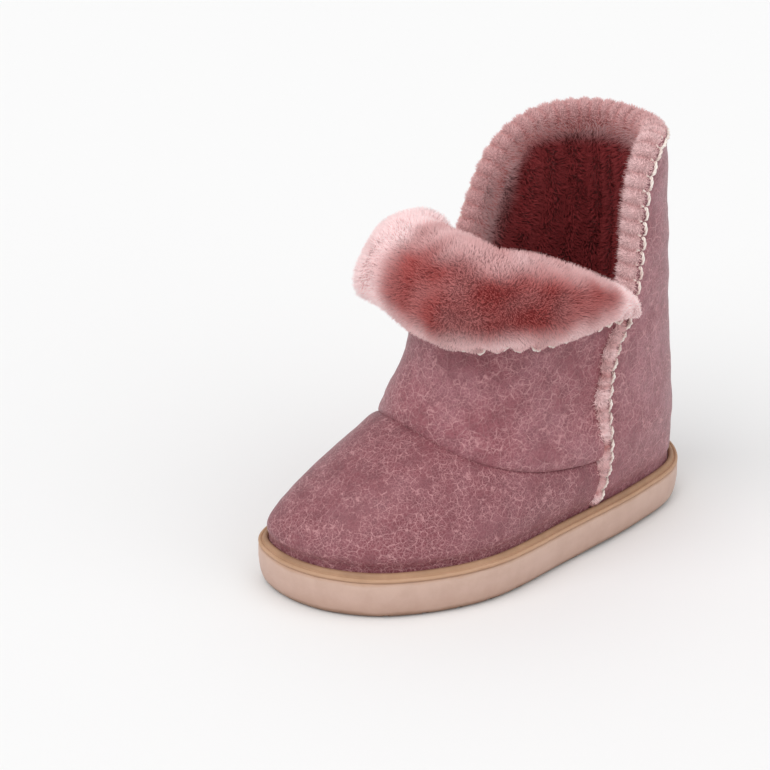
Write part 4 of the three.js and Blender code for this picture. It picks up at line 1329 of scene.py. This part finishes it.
def cuff_ground(side):
    """Rings of one half, with rounded ends, and for each point how pale and how long the pile is."""
    stations = cuff_rows[side]
    rings, pales, lengths, hems = [], [], [], []
    run = np.concatenate([[0], np.cumsum([
        np.linalg.norm(b["origin"] - a["origin"]) for a, b in zip(stations[:-1], stations[1:])
    ])])
    tip_run = run[0] if side < 0 else run[-1]
    for station, s in zip(stations, run):
        curve = loop_section(station)
        low = station["hem"] - station["fold"]
        n, h = curve[:, 0], curve[:, 1]
        ring = station["origin"] + station["out"] * n[:, None] + np.column_stack([0 * h, 0 * h, h])
        hem_near = np.clip(1 - (h - low) / 6.5, 0, 1) * (n > 1)
        x = ring[:, 0]
        crown = smooth(h, station["roll"] * 0.2, station["roll"] * 1.05)
        medial = smooth(-x, 0, 16)
        tip = 1 - smooth(abs(s - tip_run), 2, 15)
        hem_pale = smooth(low + 11.0 - h, 0, 7.0) * (n > 1)
        rings.append(ring)
        pales.append(0.6 * hem_pale + 0.46 * crown + 0.95 * medial + 0.4 * tip)
        lengths.append(np.clip(1.0 - 0.6 * smooth(hem_near, 0.1, 0.8) - 0.3 * tip, 0.3, 1))
        hems.append(hem_near)
    rings, pales = np.array(rings), np.array(pales)
    scallop = np.abs(np.sin(math.pi * run / STITCH_PITCH)) ** 0.6
    dip = (1 - scallop)[:, None] * smooth(np.array(hems), 0.3, 0.8)
    uneven = wander(rings, 7, 47)
    pales = np.clip(pales * (1 + 0.25 * uneven) + 0.05 + 0.13 * uneven - 0.5 * dip, 0, 1)
    centre = rings.mean(axis=1, keepdims=True)
    rings[..., 2] += 2.6 * dip
    lumps = 0.55 * wander(rings, 10, 41) + 0.25 * wander(rings, 5, 43)
    away = rings - centre
    away /= np.linalg.norm(away, axis=-1, keepdims=True)
    hole = np.exp(-(((np.array(hems) - 0.42) / 0.10) ** 2)) * np.exp(-((scallop / 0.35) ** 2))[:, None]
    rings = rings + away * (lumps - 1.9 * dip - 2.2 * hole)[..., None]
    lowest = rings[np.arange(len(rings)), rings[..., 2].argmin(axis=1)]

    # Rounded end beyond the last station.
    end, inner = (0, 1) if side < 0 else (-1, -2)
    heading = rings[end].mean(axis=0) - rings[inner].mean(axis=0)
    heading /= np.linalg.norm(heading)
    heart = rings[end].mean(axis=0)
    cap = []
    for bulge in END_BULGES:
        shrink = math.sqrt(max(1 - bulge**2, 0.01))
        cap.append(heart + (rings[end] - heart) * shrink + heading * END_REACH * bulge)
    lengths = np.array(lengths)
    cap_pale, cap_length = (np.repeat(values[end][None], len(cap), 0) for values in (pales, lengths))
    if side < 0:
        joined = [cap[::-1], rings], [cap_pale, pales], [cap_length, lengths]
    else:
        joined = [rings, cap], [pales, cap_pale], [lengths, cap_length]
    return (*(np.concatenate(pair) for pair in joined), lowest)


def closed_loft(name, rings):
    rows, columns = rings.shape[:2]
    faces = grid_faces(rows, columns, closed=True)
    faces += [tuple(range(columns)), tuple(range((rows - 1) * columns, rows * columns))]
    piece = mesh_object(name, rings.reshape(-1, 3), faces)
    shape = bmesh.new()
    shape.from_mesh(piece.data)
    bmesh.ops.recalc_face_normals(shape, faces=shape.faces)
    shape.to_mesh(piece.data)
    shape.free()
    return piece


cuff_halves, hem_lines = {}, {}
for side, label in ((-1, "medial"), (1, "lateral")):
    rings, pale, length, hem_lines[side] = cuff_ground(side)
    piece = closed_loft("cuff_pile_" + label, rings)
    point_values(piece, "lock_pale", pale.ravel())
    point_values(piece, "lock_length", length.ravel())
    share = np.ones(rings.shape[:2])
    share[:, BEHIND:] = HIDDEN_SHARE
    point_values(piece, "lock_share", share.ravel())
    cuff_halves[side] = grow_wool(
        piece, 6.2, 2.3, radius=0.15, lean=0.36, clump=9.0, seed=23 + side, felt=glowing_ground
    )
cuff_medial, cuff_lateral = cuff_halves[-1], cuff_halves[1]

# %% [markdown]
# Behind the wool the turned-down leather hangs against the shaft. It shows from below and when the
# front is lifted, so it is a real skin: a sheet folded over, as long as the cuff.

# %% Cuff leather
def cuff_backing(side, label):
    stations = cuff_rows[side]
    sheet_rows = []
    for station in stations:
        roll = station["roll"]
        low = min(-roll - 0.5, station["hem"] - station["fold"])
        heights = np.linspace(low + 0.4, -roll * 0.98, 12)
        line = [place_at(station, wall_at(station, h) + CUFF_STAND + SKIN, h) for h in heights]
        sheet_rows.append(line)
    piece = grid_object("cuff_skin_" + label, np.array(sheet_rows))
    face_outwards(piece)
    polygon = piece.data.polygons[len(piece.data.polygons) // 2]
    if polygon.normal @ Vector(stations[len(stations) // 2]["out"]) < 0:
        piece.data.flip_normals()
    thicken(piece, SKIN)
    return paint(settle(piece), shaft_leather)


cuff_leather_medial, cuff_leather_lateral = cuff_backing(-1, "medial"), cuff_backing(1, "lateral")
print("cuff leather", len(cuff_leather_lateral.data.polygons), "faces on the outer half")

# %% [markdown]
# ## Seam fringe
# Down each side the front skin's cut edge shows as a narrow fringe of pale wool, just ahead of the
# stitching. Its ground is a low bead laid along the edge of the rear skin.

# %% Seam fringe
def seam_fringe(side, label):
    z = np.linspace(WELT_TOP + 0.4, 72.5 if side > 0 else 75.5, 170)
    angle = edge_angle(side, z, 0.0)
    path = np.column_stack([angle, z])
    points, normal, beyond, _ = path_frames(path)
    if beyond[0] @ np.array([0, -1, 0]) < 0:
        beyond = -beyond
    s = np.linspace(0, 57, len(z))
    uneven = np.array([noise.noise(Vector((v / 2.6, side * 9.0, 2.5))) for v in s])
    turns = np.linspace(0, TURN, 14, endpoint=False)
    half = 1.5 + uneven * 0.9
    fade = np.sqrt(np.clip(np.minimum(s, s[-1] - s) / 3.0, 0.02, 1))
    e = 1.6 + 0.4 * uneven[:, None] + half[:, None] * np.cos(turns)[None, :] * fade[:, None]
    rise = -0.35 + (0.95 + 0.7 * uneven[:, None]) * np.sin(turns)[None, :] * fade[:, None]
    ring = points[:, None] + beyond[:, None] * e[..., None] + normal[:, None] * rise[..., None]
    piece = closed_loft("seam_fringe_" + label, ring)
    ones = np.ones(rise.size)
    point_values(piece, "lock_pale", (0.5 + 0.6 * uneven[:, None] + 0 * rise).ravel().clip(0.1, 0.9))
    point_values(piece, "lock_length", ones)
    point_values(piece, "lock_share", (rise > -0.9).astype(float).ravel())
    return grow_wool(piece, 11.0, 1.7, radius=0.14, lean=0.75, clump=2.0, seed=51 + side, felt=glowing_ground)


fringe_lateral, fringe_medial = seam_fringe(1, "lateral"), seam_fringe(-1, "medial")

# %% [markdown]
# ## Stitching
# The seams are sewn by hand with a waxed two-ply thread. Each visible stitch is a short, slightly
# arched piece of it, and two strands twisted round each other catch the light as a real ply does. A
# Geometry Nodes tree sweeps a small round section along every strand of every stitch at once.

# %% Thread tree and material
strands, given, result = geometry_tree("thread_strands", [
    ("Strand Radius", NUMBER, 0.0003), ("Thread Material", MATERIAL, None),
])
w = Wiring(strands)
section = w.node("GeometryNodeCurvePrimitiveCircle", Resolution=5)
w.feed(section.inputs["Radius"], given.outputs["Strand Radius"])
taper = w.node("GeometryNodeInputRadius")
swept = w.node("GeometryNodeCurveToMesh", Curve=given.outputs["Geometry"])
w.feed(swept.inputs["Profile Curve"], section.outputs["Curve"])
if "Scale" in swept.inputs:
    w.feed(swept.inputs["Scale"], taper.outputs["Radius"])
swept.inputs["Fill Caps"].default_value = True
real = w.node("GeometryNodeRealizeInstances", Geometry=swept.outputs["Mesh"])
waxed = w.node("GeometryNodeSetMaterial", Material=given.outputs["Thread Material"])
w.feed(waxed.inputs["Geometry"], real.outputs["Geometry"])
w.feed(result.inputs["Geometry"], waxed.outputs["Geometry"])

thread, shader, w = start_material("waxed_thread", 0.6, 0.35)
position = w.position()
tint = w.band(w.noise(position, 260.0, 3.0, 0.6), 0.35, 0.65)
w.feed(shader.inputs["Base Color"], w.mix(tint, srgb(226, 208, 200), srgb(248, 240, 232)))
w.feed(shader.inputs["Normal"], w.bump(w.noise(position, 3200.0, 2.0, 0.6), 0.3, 0.0001))
shader.inputs["Sheen Weight"].default_value = 0.2

STRAND = 0.32


def sew(name, stitches, strand=STRAND, ply=2):
    """One object from many stitches, each a list of points in millimetres."""
    data = bpy.data.curves.new(name, "CURVE")
    data.dimensions = "3D"
    for stitch in stitches:
        path = even(open_curve(np.array(stitch), 12), 12)
        heading = np.gradient(path, axis=0)
        heading /= np.linalg.norm(heading, axis=1, keepdims=True)
        side = np.cross(heading, [0.3, 0.2, 0.93])
        side /= np.linalg.norm(side, axis=1, keepdims=True)
        other = np.cross(heading, side)
        length = np.linalg.norm(np.diff(path, axis=0), axis=1).sum()
        twist = np.linspace(0, TURN * length / 3.2, len(path))[:, None]
        for k in range(ply):
            phase = twist + k * TURN / ply
            line = path + (side * np.cos(phase) + other * np.sin(phase)) * strand * 0.85 * (ply > 1)
            spline = data.splines.new("POLY")
            spline.points.add(len(line) - 1)
            ends = np.minimum(np.arange(len(line)), np.arange(len(line))[::-1])
            thin = np.clip(0.55 + 0.3 * ends, 0, 1)
            for point, (x, y, z), r in zip(spline.points, line * MM, thin):
                point.co, point.radius = (x, y, z, 1), r
    curve = bpy.data.objects.new(name, data)
    scene.collection.objects.link(curve)
    piece = run_tree(curve, strands, strand_radius=strand * MM, thread_material=thread)
    piece.data.polygons.foreach_set("use_smooth", [True] * len(piece.data.polygons))
    return piece


def running_stitches(points, normal, across, pitch, share=0.86, rise=0.55, skew=0.5):
    """Stitches end to end along a path: each arches over the skin and dives at its ends."""
    s = np.concatenate([[0], np.cumsum(np.linalg.norm(np.diff(points, axis=0), axis=1))])
    made = []

    def at(t, lift, sideways):
        p, n, a = (
            np.array([np.interp(t, s, array[:, k]) for k in range(3)]) for array in (points, normal, across)
        )
        return p + n * lift + a * sideways

    for start in np.arange(0, s[-1] - pitch * 0.5, pitch):
        length = pitch * share
        made.append([
            at(start, -0.25, -skew), at(start + 0.2 * length, rise, -skew * 0.6),
            at(start + 0.5 * length, rise * 1.15, 0),
            at(start + 0.8 * length, rise, skew * 0.6), at(start + length, -0.25, skew),
        ])
    return made


# %% Side seams
SEAM_PITCH = 4.3


def side_seam(side, label):
    z = np.linspace(WELT_TOP + 1.0, 72.0, 150)
    path = np.column_stack([edge_angle(side, z, -1.6), z])
    points, normal, beyond, _ = path_frames(path)
    return sew("side_seam_" + label, running_stitches(points, normal, beyond, SEAM_PITCH, rise=0.75))


seam_lateral, seam_medial = side_seam(1, "lateral"), side_seam(-1, "medial")

# %% Collar blanket stitch
edge_line = rim_points - rim_beyond * 0.9
collar_stitches = running_stitches(edge_line, rim_normal, rim_beyond, STITCH_PITCH, 0.9, 0.5, 0.35)
half_turn = np.linspace(0.12, 0.26, 4)
for s in np.arange(STITCH_PITCH, rim_s[-1] - 1, STITCH_PITCH):
    i = int(np.argmin(np.abs(rim_s - s)))
    over = []
    for share in half_turn:
        turn = math.pi / 2 - share * math.pi
        d, e_out = rim_section(np.array(turn), np.array(0.58))
        over.append(rim_points[i] - rim_normal[i] * (float(d) - 0.1) + rim_beyond[i] * (float(e_out) + 0.25))
    collar_stitches.append(over)
collar_thread = sew("collar_stitching", collar_stitches)
print("collar stitches", len(collar_stitches))

# %% Cuff hem stitches, one set on each half
def hem_stitches(side):
    line = hem_lines[side]
    out = np.array([station["out"] for station in cuff_rows[side]])
    down = np.tile([0, 0, -1.0], (len(out), 1))
    return running_stitches(line + out * 0.3 + down * 0.2, down, out, STITCH_PITCH, 0.92, 0.7, 0.3)


hem_medial = sew("hem_stitching_medial", hem_stitches(-1))
hem_lateral = sew("hem_stitching_lateral", hem_stitches(1))
print("hem stitches sewn")

# %% [markdown]
# ## Footbed
# Under the foot lies a loose pad of the same sheepskin. Its ground is the sole's outline, crowned in the
# middle and swollen by a short cloth simulation, then covered with locks.

# %% Footbed
FOOTBED_INSET, FOOTBED_LOW, FOOTBED_HIGH = 9.9, 12.35, 16.6
rings = [outline(FOOTBED_INSET + 0.6, FOOTBED_LOW), outline(FOOTBED_INSET, 13.4), outline(FOOTBED_INSET, 15.2),
         outline(FOOTBED_INSET + 1.2, FOOTBED_HIGH)]
middle = np.array([2.0, 0.0, FOOTBED_HIGH])
for shrink in (0.8, 0.55, 0.3, 0.1):
    ring = (rings[3] - middle) * np.array([shrink, shrink, 1]) + middle
    ring[:, 2] = FOOTBED_HIGH + 0.5 * (1 - shrink)
    rings.append(ring)
thin_rings = np.array(rings)[:, ::5]
footbed = closed_loft("footbed_pad", thin_rings)


def swell(piece, voxel, pressure, cap_mm, frames):
    """Inflate a pad with the cloth solver, keeping every point near where it began."""
    remesh = piece.modifiers.new("even", "REMESH")
    remesh.mode, remesh.voxel_size = "VOXEL", voxel
    pad = settle(piece)
    before = np.empty(len(pad.data.vertices) * 3)
    pad.data.vertices.foreach_get("co", before)
    cloth = pad.modifiers.new("cloth", "CLOTH")
    cloth.settings.use_pressure = True
    cloth.settings.uniform_pressure_force = pressure
    cloth.settings.effector_weights.gravity = 0
    cloth.settings.quality = 4
    for frame_number in range(1, frames + 1):
        scene.frame_set(frame_number)
    pad = settle(pad)
    scene.frame_set(1)
    after = np.empty_like(before)
    pad.data.vertices.foreach_get("co", after)
    move = (after - before).reshape(-1, 3)
    far = np.maximum(np.linalg.norm(move, axis=1, keepdims=True) / (cap_mm * MM), 1e-9)
    move /= np.maximum(far, 1)
    pad.data.vertices.foreach_set("co", (before.reshape(-1, 3) + move).ravel())
    pad.data.update()
    return settle(refine(pad))


footbed = swell(footbed, 0.0022, 2.0, 0.5, 12)
heights = np.empty(len(footbed.data.vertices) * 3)
footbed.data.vertices.foreach_get("co", heights)
heights = heights.reshape(-1, 3)[:, 2] / MM
point_values(footbed, "lock_share", smooth(heights, 14.5, 15.5))
point_values(footbed, "lock_length", np.full(len(heights), 0.8))
point_values(footbed, "lock_pale", np.full(len(heights), 0.1))
footbed = grow_wool(footbed, 2.4, 2.6, radius=0.2, lean=0.5, clump=6.0, seed=71, material=shaded_inner_wool)

# %% [markdown]
# ## Hidden layers
# Under and inside the skins sit the parts that give the boot its shape: a foam filler, a fibre insole
# board, a foam footbed base, and felt stiffeners at heel and toe. They keep their modelled shapes and get
# the look of their materials, so that the boot is right when it is opened up.

# %% Hidden layer materials
def grained_material(name, dark, light, scale, roughness, distance):
    material, shader, w = start_material(name, roughness, 0.2)
    position = w.position()
    grain = w.band(w.noise(position, scale, 5.0, 0.65), 0.35, 0.65)
    specks = w.node("ShaderNodeTexVoronoi", Vector=position, Scale=scale * 2.2)
    share = w.math("MULTIPLY", grain, w.band(specks.outputs["Distance"], 0.1, 0.6))
    w.feed(shader.inputs["Base Color"], w.mix(share, dark, light))
    w.feed(shader.inputs["Normal"], w.bump(share, 0.5, distance))
    return material


foam = grained_material("filler_foam", srgb(182, 170, 150), srgb(222, 214, 200), 900.0, 0.95, 0.0002)
board = grained_material("fibre_board", srgb(138, 112, 82), srgb(190, 164, 128), 420.0, 0.85, 0.0001)
felt = grained_material("stiff_felt", srgb(196, 184, 160), srgb(228, 220, 202), 620.0, 0.95, 0.0002)
for node, material in (
    ("midsole_filler", foam), ("footbed_base", foam), ("insole_board", board),
    ("heel_counter", felt), ("toe_puff", felt),
):
    paint(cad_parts[node], material)
print("hidden layers painted")

# %% [markdown]
# ## Bodies and replaced solids
# The front of the cuff is turned down on its fold, and the collar has a crease. Pieces that cross the
# fold or the crease have their placement baked into their meshes; everything else rides on its body.
# Each piece is listed with the modelled solids it stands for, and those are hidden.

# %% Bodies, slots and replaced solids
RIDERS = (
    (sole, "sole_rubber", ["outsole_cup"]),
    (welt, "welt_rubber", ["sole_welt"]),
    (vamp, "leather", ["vamp_leather"]),
    (front_shaft, "leather", ["front_shaft_leather"]),
    (front_lining, "wool", ["vamp_wool_lining", "front_shaft_wool_lining"]),
    (footbed, "wool", ["footbed_wool"]),
    (fringe_lateral, "pale_wool", ["side_seam_wool_lateral"]),
    (fringe_medial, "pale_wool", ["side_seam_wool_medial"]),
    (seam_lateral, "thread", ["side_seam_thread_lateral"]),
    (seam_medial, "thread", ["side_seam_thread_medial"]),
)
for piece, slot, nodes in RIDERS:
    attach(piece, "root")
    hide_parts(*nodes)

LEANERS = (
    (rear_skin, "leather", ["rear_quarter_leather", "rear_collar_leather"]),
    (rear_lining, "wool", ["rear_quarter_wool_lining", "rear_collar_wool_lining"]),
    (collar_rim, "wool", ["rear_collar_wool_lining"]),
    (collar_thread, "thread", ["collar_edge_thread"]),
)
for piece, slot, nodes in LEANERS:
    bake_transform(piece)
    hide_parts(*nodes)

FOLDERS = (
    (cuff_medial, -1, "wool", ["cuff_wool_medial", "front_flap_wool"]),
    (cuff_lateral, 1, "wool", ["cuff_wool_lateral", "front_flap_wool"]),
    (cuff_leather_medial, -1, "leather", ["cuff_leather_medial", "front_flap_leather"]),
    (cuff_leather_lateral, 1, "leather", ["cuff_leather_lateral", "front_flap_leather"]),
    (hem_medial, -1, "thread", []),
    (hem_lateral, 1, "thread", []),
)
for piece, side, slot, nodes in FOLDERS:
    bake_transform(piece)
    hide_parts(*nodes)
